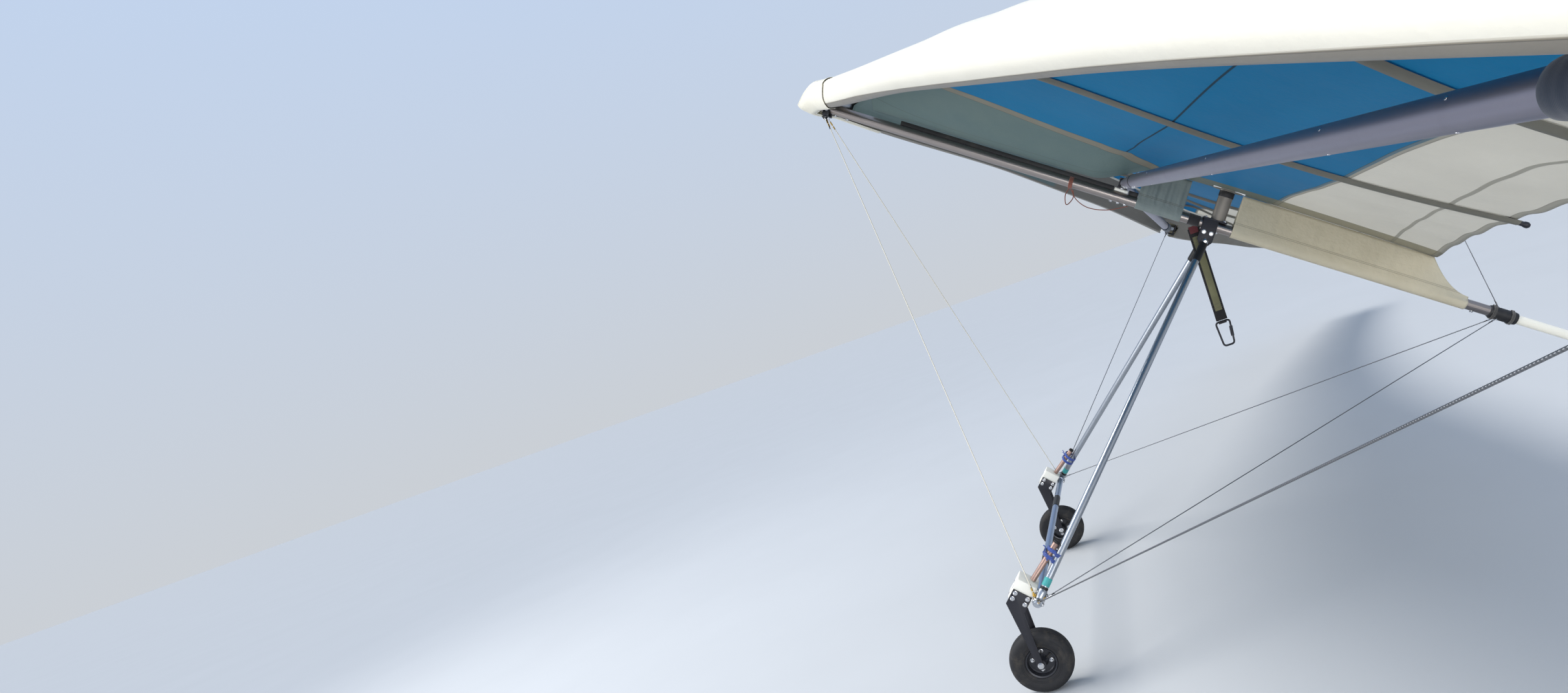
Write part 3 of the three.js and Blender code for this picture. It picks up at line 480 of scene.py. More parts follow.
# Wing surfaces, as in the CAD source
def bent_part(run, distance):
    gone = distance - EDGE_STRAIGHT - run * EDGE_BENT
    return max(gone if run == EDGE_BENDS - 1 else min(gone, EDGE_BENT), 0)


def tip_rise(distance):
    return sum(slope * bent_part(run, distance) for run, slope in enumerate(TIP_SLOPES))


def leading_edge(distance):
    straight = min(distance, EDGE_STRAIGHT)
    x = straight * math.sin(NOSE_HALF_ANGLE)
    y = straight * math.cos(NOSE_HALF_ANGLE)
    for run in range(EDGE_BENDS):
        part = bent_part(run, distance)
        sweep = NOSE_HALF_ANGLE - TIP_BEND * (run + 0.5) / EDGE_BENDS
        x += part * math.sin(sweep)
        y += part * math.cos(sweep)
    return vec(x, y, EDGE_Z + x * EDGE_RISE + tip_rise(distance))


def edge_aft(distance):
    ahead = leading_edge(distance + 0.001) - leading_edge(distance - 0.001)
    return unit((-ahead[1], ahead[0], 0))


def sail_front(distance):
    return leading_edge(distance) + edge_aft(distance) * (POCKET_REAR + GAP)


def ease(value, start, end):
    part = np.clip((np.asarray(value, float) - start) / (end - start), 0, 1)
    return part * part * (3 - 2 * part)


def section_height(distance):
    grown = NOSE_HEIGHT + (1 - NOSE_HEIGHT) * ease(distance, 0, NOSE_TAPER)
    outboard = (distance - EDGE_STRAIGHT) / (EDGE_LENGTH - EDGE_STRAIGHT)
    return grown * (1 - 0.35 * min(max(outboard, 0), 1))


def section_depth(distance):
    crossbar_end = ease(distance, 2.4, 3.9) * (1 - 0.8 * ease(distance, 3.75, 4.8))
    nose = 1.2 * (1 - ease(distance, 0.2, 1.5))
    return 1 + 1.2 * crossbar_end + nose + 0.6 * (1 - ease(distance, 0, 0.15))


def section_shape(distance, section):
    """The leading edge's (back, up) section at one distance from the nose, where it bulges and droops."""
    back, up = np.asarray(section, float).T
    ahead = np.maximum(-back, 0)
    bulge = NOSE_BULGE * (1 - ease(distance, 0, 0.3))
    droop = NOSE_DROOP * (1 - ease(distance, 0, 0.2)) * (ahead / 0.042) ** 2
    height, depth = section_height(distance), section_depth(distance)
    return np.stack([back - ahead * bulge, np.where(up > 0, up * height, up * depth) - droop], 1)


TABLE_S = np.linspace(0.0, EDGE_LENGTH + 0.4, 1400)
TABLE_FRONT = np.array([sail_front(s) for s in TABLE_S])
TIP_X = leading_edge(EDGE_LENGTH)[0]
SAIL_TIP_X = sail_front(EDGE_LENGTH - 0.04)[0]


def trailing_edge(x):
    out = x / TIP_X
    y = ROOT_TRAILING_EDGE - 0.35 * math.sin(min(out / 0.5, 1) * math.pi / 2)
    return y + 1.29 * max(out - 0.3, 0) ** 1.4 / 0.7 ** 1.4


def sail_line(x, t):
    """Points of the sail's middle surface at one place across the span, for an array of chord fractions."""
    front = np.array([np.interp(x, TABLE_FRONT[:, 0], TABLE_FRONT[:, i]) for i in range(3)])
    distance = np.interp(x, TABLE_FRONT[:, 0], TABLE_S)
    front_y = front[1] + 0.14 * max(0, 1 - x / 0.25)
    front_z = front[2] + POCKET_TOP * section_height(distance) - 0.0022
    rear_y = trailing_edge(x)
    rear_z = 0.146 + 0.07 * (1 - math.exp(-x / 0.5)) + 0.012 * x + tip_rise(distance)
    share = ease(x, 0, 0.7)
    t = np.asarray(t, float)
    c = np.clip(t, 0, 1)
    wave = np.sin(np.pi * c)
    outer = 0.05 * c ** 0.6 * (1 - c) ** 2.6 / 0.2137 - 0.03 * wave
    camber = share * outer + (1 - share) * 0.03 * wave ** 0.8
    y = front_y + (rear_y - front_y) * t
    z = front_z + (rear_z - front_z) * t + camber
    return np.stack([np.full_like(t, x), y, z - root_drop(x, y, z)], 1)


def root_drop(x, y, z):
    """How far the sail's middle comes down towards the keel, ahead of the crossbar."""
    half_panel = TABLE_FRONT[0, 0] + np.maximum(y - TABLE_FRONT[0, 1], 0) * math.tan(NOSE_HALF_ANGLE)
    width = ROOT_WIDTH * np.minimum(1, np.maximum(half_panel, 0.06) / 0.9)
    return (z - ROOT_LOW) * (1 - ease(y, *ROOT_RISE)) * np.exp(-(x / width) ** 2)


def root_height(y):
    front = sail_line(FIRST_X, [0.0])[0][1]
    return sail_line(FIRST_X, [(y - front) / (trailing_edge(FIRST_X) - front)])[0][2]


# Seams of the sail, and the line of a painted shadow, as (x, y) pairs
NOSE_SEAM = [(0.56, 0.20), (0.50, 0.55), (0.42, 0.86), (0.39, 0.98), (0.36, 1.13), (0.34, 1.27),
             (0.29, 1.38), (0.18, 1.45), (0.08, 1.50), (0.0, 1.53)]
# Painted shadow of the upper side wire on the sail
UPPER_WIRE_SHADOW_LINE = [(0.31, 1.375), (0.38, 1.40), (0.88, 1.48), (1.60, 1.57), (2.7, 1.71)]
COLOUR_LINE_Y = 2.04
REAR_SEAM = 0.20
TAPE_HALF = 0.022
LINE_HALF = 0.011
REAR_HEM = 0.026
ROOT_BAND_SPAN = 0.105
ROOT_BAND_Y = 1.53
SAIL_THICKNESS = 0.0006
SLOT_SPAN = 0.032
SLOT_Y = (1.765, 1.905)
FIRST_X = 0.001


def beside(points, line):
    """Distance of points from a line of (x, y) pairs, positive on the line's left going along it."""
    line = np.asarray(line, float)
    best = np.full(len(points), 9.0)
    for a, b in zip(line[:-1], line[1:]):
        run = b - a
        share = np.clip((points - a) @ run / (run @ run), 0, 1)
        arm = points - (a + share[:, None] * run)
        away = np.linalg.norm(arm, axis=1)
        turn = run[0] * arm[:, 1] - run[1] * arm[:, 0]
        signed = np.where(turn < 0, -away, away)
        best = np.where(away < np.abs(best), signed, best)
    return best


def make_sail(name, side):
    across, along = 300, 150
    xs = np.concatenate([[FIRST_X], np.linspace(0.008, 0.5, 60),
                         np.linspace(0.5, SAIL_TIP_X, across - 60)[1:]])
    ts = np.linspace(0, 1, along + 1) ** 1.1
    grid = np.array([sail_line(x, ts) for x in xs])
    battens = np.array((0.0,) + BATTENS + (SAIL_TIP_X,))
    for i, x in enumerate(xs):
        k = min(np.searchsorted(battens, x, side="right") - 1, len(battens) - 2)
        part = (x - battens[k]) / (battens[k + 1] - battens[k])
        billow = 0.014 * math.sin(math.pi * min(max(part, 0), 1)) ** 1.5
        grid[i, :, 2] += billow * np.sin(np.pi * np.clip(ts, 0, 1)) ** 0.7
        grid[i, :, 2] += 0.004 * np.sin(x * 23 + 3 * ts) * ts ** 6
    flat = grid.reshape(-1, 3)
    cells = grid_faces(len(xs), len(ts))
    faces = []
    for face in cells:
        near_keel = flat[face[1], 0] < SLOT_SPAN
        beside_post = SLOT_Y[0] < flat[face[0], 1] < SLOT_Y[1]
        if not (near_keel and beside_post):
            faces.append(face)
    if side < 0:
        faces = [face[::-1] for face in faces]
    body = Body()
    body.put(flat * (side, 1, 1), faces)
    piece = body.make(name, [SAIL], slot="blue_cloth")
    give(piece, "nose", -beside(flat[:, :2], NOSE_SEAM))
    give(piece, "rear", np.array([trailing_edge(x) for x in flat[:, 0]]) - flat[:, 1])
    give(piece, "upper_wire_shadow", beside(flat[:, :2], UPPER_WIRE_SHADOW_LINE))
    give(piece, "span", flat[:, 0])
    solidify(piece, SAIL_THICKNESS)


def sail_look(s):
    nose, rear = s.value("nose"), s.value("rear")
    y = s.along(1)
    blue = s.mix(s.noise(2.0, 4.0), rgb(4, 130, 170), rgb(12, 144, 184))
    white = s.mix(s.noise(3.0, 5.0), rgb(232, 228, 218), rgb(216, 212, 202))
    # The nose panel is white cloth painted in shade: a greenish grey stands in for the shade on it.
    white_in_painted_shade = s.mix(s.noise(4.0, 5.0), rgb(114, 136, 138), rgb(134, 150, 144))
    beige = s.mix(s.noise(6.0, 4.0), rgb(146, 142, 130), rgb(164, 160, 146))
    colour = s.mix(s.step(y, COLOUR_LINE_Y - 0.0008, COLOUR_LINE_Y + 0.0008), blue, white)
    colour = s.mix(s.step(nose, -0.0008, 0.0008, 1.0, 0.0), colour, white_in_painted_shade)

    def band(distance, half, soft=0.0012):
        return s.step(s.math("ABSOLUTE", distance), half - soft, half + soft, 1.0, 0.0)

    def beside_band(distance, half):
        return s.math("SUBTRACT", s.math("ABSOLUTE", distance), half)

    past_line = s.math("SUBTRACT", y, COLOUR_LINE_Y)
    tape = band(nose, TAPE_HALF)
    root = s.math("MULTIPLY",
                  s.step(s.value("span"), ROOT_BAND_SPAN - 0.001, ROOT_BAND_SPAN + 0.001, 1.0, 0.0),
                  s.step(y, ROOT_BAND_Y, ROOT_BAND_Y + 0.01))
    root_tone = s.mix(s.step(y, COLOUR_LINE_Y - 0.03, COLOUR_LINE_Y + 0.03), rgb(128, 136, 126),
                      rgb(176, 170, 150))
    colour = s.mix(root, colour, root_tone)
    hems = s.math("MAXIMUM", band(past_line, LINE_HALF), band(s.math("SUBTRACT", rear, REAR_SEAM), 0.007))
    hems = s.math("MAXIMUM", hems, band(rear, REAR_HEM))
    colour = s.mix(s.math("MULTIPLY", hems, 0.6), colour, beige)
    colour = s.mix(tape, colour, beige)
    edges = s.math("MAXIMUM", band(beside_band(nose, TAPE_HALF), 0.0016),
                   band(beside_band(past_line, LINE_HALF), 0.0013))
    edges = s.math("MAXIMUM", edges, band(s.math("SUBTRACT", rear, REAR_HEM), 0.0012))
    edges = s.math("MAXIMUM", edges, band(s.math("SUBTRACT", s.value("span"), ROOT_BAND_SPAN), 0.0014))
    # Painted shadow of the upper side wire: a dark line outside the nose tape, without a seam's bump
    outside = s.step(nose, TAPE_HALF + 0.001, TAPE_HALF + 0.003)
    upper_wire_shadow = s.math("MULTIPLY", band(s.value("upper_wire_shadow"), 0.0032), outside)
    colour = s.mix(s.math("MULTIPLY", edges, 0.45), colour, rgb(96, 92, 80))
    colour = s.mix(s.math("MULTIPLY", upper_wire_shadow, 0.8), colour, rgb(30, 44, 48))
    return colour, s.math("MAXIMUM", hems, tape)


SAIL = cloth("sailcloth", sail_look, glow=0.55, wrinkle=0.35)


def batten_look(s):
    return s.mix(s.noise(12.0, 5.0), rgb(118, 117, 108), rgb(138, 136, 126)), None


POCKET_CLOTH = cloth("batten_pocket_cloth", batten_look, glow=0.4, wrinkle=0.3)


def make_battens(name, side):
    """Cloth pockets under the sail, each with its batten's cap and two cords behind it."""
    body = Body()
    half, depth, under = 0.019, 0.0125, 0.0022
    shape = [(-half, 0.0), (-0.8 * half, -0.62 * depth), (-0.4 * half, -depth), (0.4 * half, -depth),
             (0.8 * half, -0.62 * depth), (half, 0.0)]
    for batten in BATTENS:
        ts = np.linspace(0.035, 1.004, 60)
        line = sail_line(batten, ts)
        rings = [[p + vec(across, 0, up - under) for across, up in shape] for p in line]
        body.rings(rings, 0)
        tip = line[-1] + vec(0, 0, -0.007)
        body.lathe(tip - vec(0, 0.012, 0), (0, 1, 0),
                   [(0, 0), (0, 0.0075), (0.026, 0.0075), (0.032, 0.0095), (0.040, 0.0095), (0.046, 0.006),
                    (0.047, 0)], 16, 1)
        for way in (-1, 1):
            cord = ((0.010, 0.020, 0), (0.014, -0.02, 0.004), (0.012, -0.06, 0.006))
            body.tube([tip + vec(way * x, y, z) for x, y, z in cord], 0.0012, 6, 1)
    body.make(name, [POCKET_CLOTH, BLACK], side=side)


for name, side in SIDES:
    make_sail(f"sail_{name}", side)
    make_battens(f"batten_pockets_{name}", side)

# Leading edge pockets: a cloth section that wraps the tube and closes with a flap behind; its underside and
# flap are painted in shade
SECTION = [(112, 170), (34, 138), (-22, 88), (-42, 20), (-33, -18), (-5, -34), (24, -30)]
# Share of the section, at each distance along the edge, past which the pocket is painted in shade
PAINTED_SHADE_FROM = [(0.3, 0.872), (0.9, 0.876), (1.35, 0.905), (2.6, 0.898), (3.2, 0.882)]
DOORWAY = np.array((3.03, 1.897, 0.046))
DOORWAY_HALF = (0.11, 0.10, 0.065)
FLAP_MARK = 0.05


def smooth_line(points, count):
    """Points evenly placed on a Catmull-Rom curve through the given ones."""
    points = [np.asarray(p, float) for p in points]
    ends = [2 * points[0] - points[1]] + points + [2 * points[-1] - points[-2]]
    fine = []
    for i in range(1, len(ends) - 2):
        p0, p1, p2, p3 = ends[i - 1:i + 3]
        for t in np.linspace(0, 1, 24, endpoint=False):
            fine.append(0.5 * (2 * p1 + (p2 - p0) * t + (2 * p0 - 5 * p1 + 4 * p2 - p3) * t * t
                               + (3 * p1 - p0 - 3 * p2 + p3) * t ** 3))
    fine.append(points[-1])
    fine = np.array(fine)
    length = np.concatenate([[0], np.cumsum(np.linalg.norm(np.diff(fine, axis=0), axis=1))])
    at = np.linspace(0, length[-1], count)
    return np.stack([np.interp(at, length, fine[:, i]) for i in range(fine.shape[1])], 1)


def edge_section(count=60):
    return smooth_line([np.array(p) / 1000 for p in SECTION], count)


def edge_ring(distance, section):
    """Points of the wing's (back, up) section at its place along the leading edge."""
    back, up = np.asarray(section, float).T
    return leading_edge(distance) + back[:, None] * edge_aft(distance) + up[:, None] * vec(0, 0, 1)


def make_pocket(name, side):
    curve = edge_section()
    flap = np.linspace(curve[-1], curve[0], 14)[1:-1]
    loop = np.concatenate([curve, flap])
    last = len(curve) - 1
    part = np.arange(len(loop)) / last
    swell = 0.0022 * np.sin(np.pi * np.clip(part, 0, 1)) ** 2
    stations = np.linspace(0.19, EDGE_LENGTH - 0.04, 190)
    rings = []
    past_shade_line, spanwise = [], []
    for s in stations:
        ring = edge_ring(s, section_shape(s, loop))
        wave = swell * math.sin(s * 9.0 + 2.5 * math.sin(s * 3.1))
        ring += wave[:, None] * (edge_aft(s) * -0.6 + vec(0, 0, 0.5))
        # Distance past the painted shade line; the flap is painted in shade throughout
        past = np.where(part > 1, FLAP_MARK, (part - np.interp(s, *zip(*PAINTED_SHADE_FROM))) * 0.4)
        step = 1 if side > 0 else -1
        rings.append((ring * (side, 1, 1))[::step])
        past_shade_line.extend(past[::step])
        spanwise.extend([s] * len(loop))
    body = Body()
    body.rings(rings, caps=False)
    centre = np.array(body.points)[np.array(body.faces)].mean(axis=1) * (side, 1, 1)
    doorway = np.all(np.abs(centre - DOORWAY) < DOORWAY_HALF, axis=1)
    body.faces = [face for face, gone in zip(body.faces, doorway) if not gone]
    body.slots = [0] * len(body.faces)
    past_shade_line = np.array(past_shade_line)
    piece = body.make(name, [EDGE_CLOTH], slot="white_cloth", angle=50)
    give(piece, "under", past_shade_line)
    give(piece, "flap", np.where(past_shade_line == FLAP_MARK, 1.0, 0.0))
    give(piece, "span", spanwise)
    solidify(piece, 0.0008, -1.0)


def edge_look(s):
    under, span = s.value("under"), s.value("span")
    # Painted shade: the pocket's underside and flap are beige instead of white, and the flap near the nose is
    # a shaded greenish grey
    white = s.mix(s.noise(6.0, 5.0), rgb(233, 229, 217), rgb(226, 222, 208))
    beige = s.mix(s.noise(9.0, 5.0), rgb(122, 117, 108), rgb(138, 133, 124))
    white_in_painted_shade = s.mix(s.noise(4.0, 5.0), rgb(98, 120, 122), rgb(118, 136, 132))
    colour = s.mix(s.step(under, -0.001, 0.001), white, beige)
    inboard = s.math("MULTIPLY", s.step(s.value("flap"), 0.4, 0.6), s.step(span, 1.85, 1.90, 1.0, 0.0))
    colour = s.mix(inboard, colour, white_in_painted_shade)
    seam = s.step(s.math("ABSOLUTE", under), 0.0016, 0.003, 1.0, 0.0)
    colour = s.mix(s.math("MULTIPLY", seam, 0.35), colour, rgb(150, 138, 116))
    return colour, seam


EDGE_CLOTH = cloth("edge_cloth", edge_look, glow=0.18, rough=0.42, wrinkle=0.25)
for name, side in SIDES:
    make_pocket(f"leading_edge_pocket_{name}", side)


# Nose cone: one cloth cap over the nose plates and both leading edges.
# Its tip is flattened towards a base line, by a share of its height at each (y, share)
TIP_SHARES = [(-0.065, 0.30), (-0.055, 0.36), (-0.037, 0.55), (-0.015, 0.68), (0.03, 0.84), (0.07, 0.95),
              (0.11, 1.0)]
TIP_BASE = -0.035
CONE_CLEARANCE = 0.0045
CONE_ROUNDING = 0.012


def flatten_tip(x, y, z):
    near = 1 - ease(x, 0.05, 0.16)
    share = 1 - (1 - np.interp(y, *zip(*TIP_SHARES))) * near
    return np.where(y < 0, y * (1 - 0.18 * near), y), TIP_BASE + (z - TIP_BASE) * share


def make_nose_cone():
    curve = edge_section(110)
    curve = curve[curve[:, 0] < POCKET_REAR - 0.0035]
    lines = []
    for s in np.linspace(-0.09, CONE_END, 180):
        shaped = section_shape(s, curve)
        tangent = np.gradient(shaped, axis=0)
        tangent /= np.linalg.norm(tangent, axis=1)[:, None]
        lines.append(edge_ring(s, shaped + np.stack([tangent[:, 1], -tangent[:, 0]], 1) * CONE_CLEARANCE))
    lines = np.array(lines)
    reach = np.concatenate([-np.linspace(1, 0, 57)[:-1] ** 1.3, np.linspace(0, 1, 57) ** 1.3])
    points = []
    for k in range(len(curve)):
        xs, ys, zs = lines[:, k].T
        x = np.abs(reach) * xs[-1]
        blunt = np.sqrt(x * x + CONE_ROUNDING * CONE_ROUNDING) - CONE_ROUNDING * (1 - ease(x, 0, 0.2))
        blunt = np.minimum(blunt, xs[-1])
        y, z = flatten_tip(x, np.interp(blunt, xs, ys), np.interp(blunt, xs, zs))
        points.extend(zip(np.sign(reach) * x, y, z))
    faces = grid_faces(len(curve), len(reach))
    body = Body()
    body.put(points, faces)
    piece = body.make("nose_cone", [CONE_CLOTH], slot="white_cloth", angle=60)
    give(piece, "run", np.repeat(np.arange(len(curve)) / (len(curve) - 1), len(reach)))
    give(piece, "span", np.abs(np.tile(reach, len(curve))))
    solidify(piece, 0.0009)


def cone_look(s):
    run, span = s.value("run"), s.value("span")
    white = s.mix(s.noise(8.0, 5.0), rgb(232, 228, 214), rgb(222, 217, 200))
    seams = s.math("MAXIMUM", s.mark(run, 0.55, 0.006), s.mark(run, 0.60, 0.006))
    seams = s.math("MAXIMUM", seams, s.mark(span, 0.62, 0.003))
    seams = s.math("MAXIMUM", seams, s.mark(run, 0.97, 0.010))
    colour = s.mix(s.math("MULTIPLY", seams, 0.3), white, rgb(176, 168, 150))
    return colour, seams


CONE_CLOTH = cloth("nose_cone_cloth", cone_look, glow=0.15, rough=0.45, wrinkle=0.35)
make_nose_cone()


# Keel pockets: cloth hung from the sail's root and wrapped round the keel
def make_keel_pocket(name, start, end, top_end, count, wrinkle):
    """top_end is where the pocket leaves the sail, and its top then comes down to the keel."""
    rings = []
    radius = KEEL_RADIUS + 0.0034
    low_end = 0.030
    for y in np.linspace(start, end, count):
        if y <= top_end:
            high = root_height(y) - 0.0035
        else:
            part = (y - top_end) / (end - top_end)
            high = low_end + (root_height(top_end) - low_end) * (1 - part) ** 1.9
        high = max(high, radius + 0.002)
        wave = wrinkle * (math.sin(y * 96) + 0.6 * math.sin(y * 171 + 1.3) + 0.4 * math.sin(y * 301))
        side = []
        for t in np.linspace(1, 0, 14):
            z = high * t + 0.006 * (1 - t)
            belly = radius * (1 - t) ** 1.4 + 0.006 * t
            folds = wave * math.sin(math.pi * min(max(t, 0), 1)) ** 0.7
            side.append((belly + folds, z))
        arc = [(radius * math.cos(a), radius * math.sin(a)) for a in np.linspace(0, -math.pi, 15)[1:-1]]
        rings.append([(x, y, z) for x, z in side + arc + [(-x, z) for x, z in reversed(side)]])
    body = Body()
    faces = grid_faces(len(rings), len(rings[0]))
    body.put([p for ring in rings for p in ring], faces)
    piece = body.make(name, [KEEL_CLOTH], slot="keel_cloth", angle=60)
    solidify(piece, 0.0007)


def keel_look(s):
    z, y = s.along(2), s.along(1)
    pale = s.mix(s.noise(7.0, 5.0, stretch=(1.0, 5.0, 0.6)), rgb(150, 160, 158), rgb(128, 140, 138))
    beige = s.mix(s.noise(9.0, 5.0), rgb(206, 198, 174), rgb(220, 212, 190))
    colour = s.mix(s.step(y, 1.8, 1.85), pale, beige)
    rows = s.math("MAXIMUM", s.mark(z, 0.034, 0.0014, 0.5), s.mark(z, 0.040, 0.0014, 0.5))
    colour = s.mix(s.math("MULTIPLY", rows, 0.35), colour, rgb(120, 110, 92))
    return colour, rows


KEEL_CLOTH = cloth("keel_pocket_cloth", keel_look, glow=0.35, wrinkle=0.7)
make_keel_pocket("keel_pocket_front", 1.480, 1.680, 1.680, 90, 0.0018)
make_keel_pocket("keel_pocket_rear", 1.905, 2.930, 2.735, 160, 0.0004)


def dress(node, material):
    cad[node].data.materials.clear()
    cad[node].data.materials.append(material)
    for polygon in cad[node].data.polygons:
        polygon.use_smooth = True
    cad[node].data.set_sharp_from_angle(angle=math.radians(35))


dress("keel_tube", KEEL_TUBE)
dress("keel_stinger", WHITE_TUBE)
dress("tail_cap", RUBBER)
for name, _ in SIDES:
    dress(f"leading_edge_tube_{name}", SILVER)


LASHING_STEPS = 26


def torus_path(centre, axis, radius, count=40):
    a, b = square_pair(unit(axis))
    return [np.asarray(centre) + radius * (math.cos(t) * a + math.sin(t) * b) for t in turn_steps(count)]


def lashing(body, centre, axis, radius, turns, cord, slot=0):
    """Cord wound round a tube: one helix, a little uneven. cord is its radius."""
    axis = unit(axis)
    a, b = square_pair(axis)
    path = []
    steps = LASHING_STEPS * turns
    for i in range(steps + 1):
        t = 2 * math.pi * i / LASHING_STEPS
        wobble = 0.0006 * math.sin(i * 1.7)
        along = (i / steps - 0.5) * turns * cord * 2.1
        out = math.cos(t) * a + math.sin(t) * b
        path.append(np.asarray(centre) + axis * along + (radius + cord + wobble) * out)
    body.tube(path, cord, 8, slot)


def ribbed(first, step, radius, rise, count):
    """The ribs of a grip or a wrap, for a turned profile."""
    return [(first + i * step, radius + rise * (i % 2)) for i in range(count)]


keel = Body()
for y in (0.110, 0.165, 1.372, 1.404, 1.436, 1.775, 1.845, 2.965):
    keel.bolt((0, y, -KEEL_RADIUS), (0, 0, -1), 0.0042, 0)
keel.make("keel_bolts", [STEEL], angle=30)

strip = Body()
for start, end in ((0.40, 1.370), (1.437, 1.478)):
    strip.plate([(0.0, start, 0.0205), (0.0, end, 0.0205), (0.0, end, 0.0400), (0.0, start, 0.0400)],
                0.003, (1, 0, 0), 0.0008)
strip.make("keel_strip", [WRAP])

ties = Body()
lashing(ties, (0, 1.188, 0), (0, 1, 0), KEEL_RADIUS, 4, 0.0021)
short_loop = [(0.006, 1.186, -0.026), (0.012, 1.180, -0.060), (0.004, 1.196, -0.095),
              (-0.006, 1.214, -0.060), (0.0, 1.204, -0.027)]
long_loop = [(0.008, 1.196, -0.026), (0.010, 1.230, -0.062), (0.008, 1.290, -0.080),
             (0.006, 1.370, -0.066), (0.004, 1.450, -0.026)]
ties.tube(smooth_line(short_loop, 30), 0.0021, 8)
ties.tube(smooth_line(long_loop, 40), 0.0019, 8)
ties.make("keel_tie", [RED_CORD], angle=60)

# Black wrap over the rear joint, with the ends of the rear wires
wrap = Body()
profile = [(0.0, 0.0220), (0.002, 0.0248)] + ribbed(0.006, 0.0058, 0.0262, 0.0007, 19)
profile += [(0.118, 0.0248), (0.1195, 0.0195)]
wrap.lathe((0, 3.0303, 0), (0, 1, 0), profile, 40, 0)
for y in (3.048, 3.125):
    lashing(wrap, (0, y, 0), (0, 1, 0), 0.0268, 3, 0.0022, 1)
wrap.make("keel_rear_sleeve", [WRAP, THREAD], slot="black_webbing", angle=40)

# Rigging places
frame_down = vec(0, -math.sin(RAKE), -math.cos(RAKE))
frame_ahead = vec(0, -math.cos(RAKE), math.sin(RAKE))
frame_drop = math.sqrt(UPRIGHT_LENGTH ** 2 - BASE_HALF ** 2)
corner = APEX + frame_down * frame_drop + vec(BASE_HALF, 0, 0)
upright_top = vec(0.0436, APEX[1], -0.070)
corner_tang = corner + vec(0.010, 0, 0)
kingpost_top = vec(0, KINGPOST_Y, KINGPOST_FOOT + KINGPOST_HEIGHT)
nose_tang = vec(0.014, 0.070, -0.037)
nose_over = vec(0, 0.110, EDGE_Z + EDGE_RADIUS + 0.005)
edge_x = np.array([leading_edge(s)[0] for s in TABLE_S])
edge_at_junction = leading_edge(np.interp(JUNCTION_X, edge_x, TABLE_S))
junction = edge_at_junction + vec(0, 0, -EDGE_RADIUS - 0.020)
upper_tang = edge_at_junction + vec(0, 0.052, 0.066)
tail_tang = vec(0, 3.090, 0)


def wire_end(body, anchor, target):
    """A thimble eye, two swaged sleeves and the tail of the wire."""
    way = unit(target - anchor)
    across = unit(np.cross(way, vec(0, 0, 1)) if abs(way[2]) < 0.9 else np.cross(way, vec(1, 0, 0)))
    eye = [anchor + way * (0.013 - 0.012 * math.cos(t)) + across * 0.0062 * math.sin(t)
           for t in turn_steps(22)]
    body.tube(eye, 0.0019, 8, 1, around=True)
    body.tube([anchor + way * 0.024, anchor + way * 0.042], [0.0032, 0.0032], 12, 2, flat=(1.0, 1.45))
    body.tube([anchor + way * 0.046, anchor + way * 0.058], [0.0030, 0.0030], 12, 2, flat=(1.0, 1.4))
    body.tube([anchor + way * 0.058, anchor + way * 0.072 + across * 0.003], [0.0026, 0.0018], 10, 3)


RUNS = (
    ("lower_front_wire", corner_tang, nose_tang, 0.0019),
    ("lower_side_wire", corner_tang, junction, 0.0021),
    ("lower_rear_wire", corner_tang, tail_tang, 0.0019),
    ("upper_side_wire", upper_tang, kingpost_top, 0.0017),
    ("upper_front_wire", nose_over, kingpost_top, 0.0017),
    ("upper_rear_wire", tail_tang, kingpost_top, 0.0017),
)
for name, start, end, radius in RUNS:
    body = Body()
    way = unit(end - start)
    body.rod(start + way * 0.020, end - way * 0.020, radius, 12, 0)
    wire_end(body, start, end)
    wire_end(body, end, start)
    # The lower front wires take the painted sunlit colour
    look = SUNLIT_WIRE if name == "lower_front_wire" else WIRE
    finishes = [look, STEEL, BRASS if name == "lower_front_wire" else STEEL, WRAP]
    if start[0] or end[0]:
        for hand, side in SIDES:
            body.make(f"{name}_{hand}", finishes, slot="stay_wire", side=side, angle=40)
    else:
        body.make(name, finishes, slot="stay_wire", angle=40)

# Nose plates, with their bolts and the tang that the front wires meet
nose = Body()
outline = [(-0.100, 0.104), (-0.112, 0.078), (-0.066, 0.056), (0, 0.054), (0.066, 0.056), (0.112, 0.078),
           (0.100, 0.104)]
cheek = ((0.060, 0.0218), (0.088, 0.0218), (0.088, -0.031), (0.081, -0.038), (0.067, -0.038),
         (0.060, -0.031))
tang = ((0.004, 0.060, -0.030), (0.004, 0.082, -0.030), (0.018, 0.084, -0.050), (0.024, 0.072, -0.054),
        (0.016, 0.058, -0.044))
for z in (0.0238, 0.0808):
    nose.plate([(x, y, z) for x, y in outline], 0.004, (0, 0, 1), 0.0012, 0)
for x, y in ((0, 0.084), (0.096, 0.084), (-0.096, 0.084), (0.050, 0.090), (-0.050, 0.090)):
    nose.bolt((x, y, 0.0828), (0, 0, 1), 0.0042, 1)
    if x:
        nose.bolt((x, y, 0.0218), (0, 0, -1), 0.0042, 1)
        nose.rod((x, y, 0.026), (x, y, 0.079), 0.004, 12, 1)
for side in (1, -1):
    nose.plate([(side * 0.0245, y, z) for y, z in cheek], 0.004, (1, 0, 0), 0.001, 0)
    nose.plate([(side * x, y, z) for x, y, z in tang], 0.003, (0.45 * side, 0, 0.9), 0.0008, 1)
nose.block((0, 0.074, -0.035), (0.053, 0.028, 0.005), None, 0.0012, 0)
for side in (1, -1):
    nose.bolt((side * 0.0265, 0.074, -0.006), (side, 0, 0), 0.0042, 1)
nose.bolt((0, 0.074, -0.0375), (0, 0, -1), 0.004, 1)
nose.make("nose_plates", [BLACK, STEEL], slot="black_fitting", angle=30)

# Crossbars, padded sleeves at their outer ends and the hinge between them
along = CROSSBAR_OUTER - CROSSBAR_INNER
run = unit(along)
sleeve_start = CROSSBAR_INNER + along * SLEEVE_START
sleeve_length = float(np.linalg.norm(CROSSBAR_OUTER - sleeve_start))


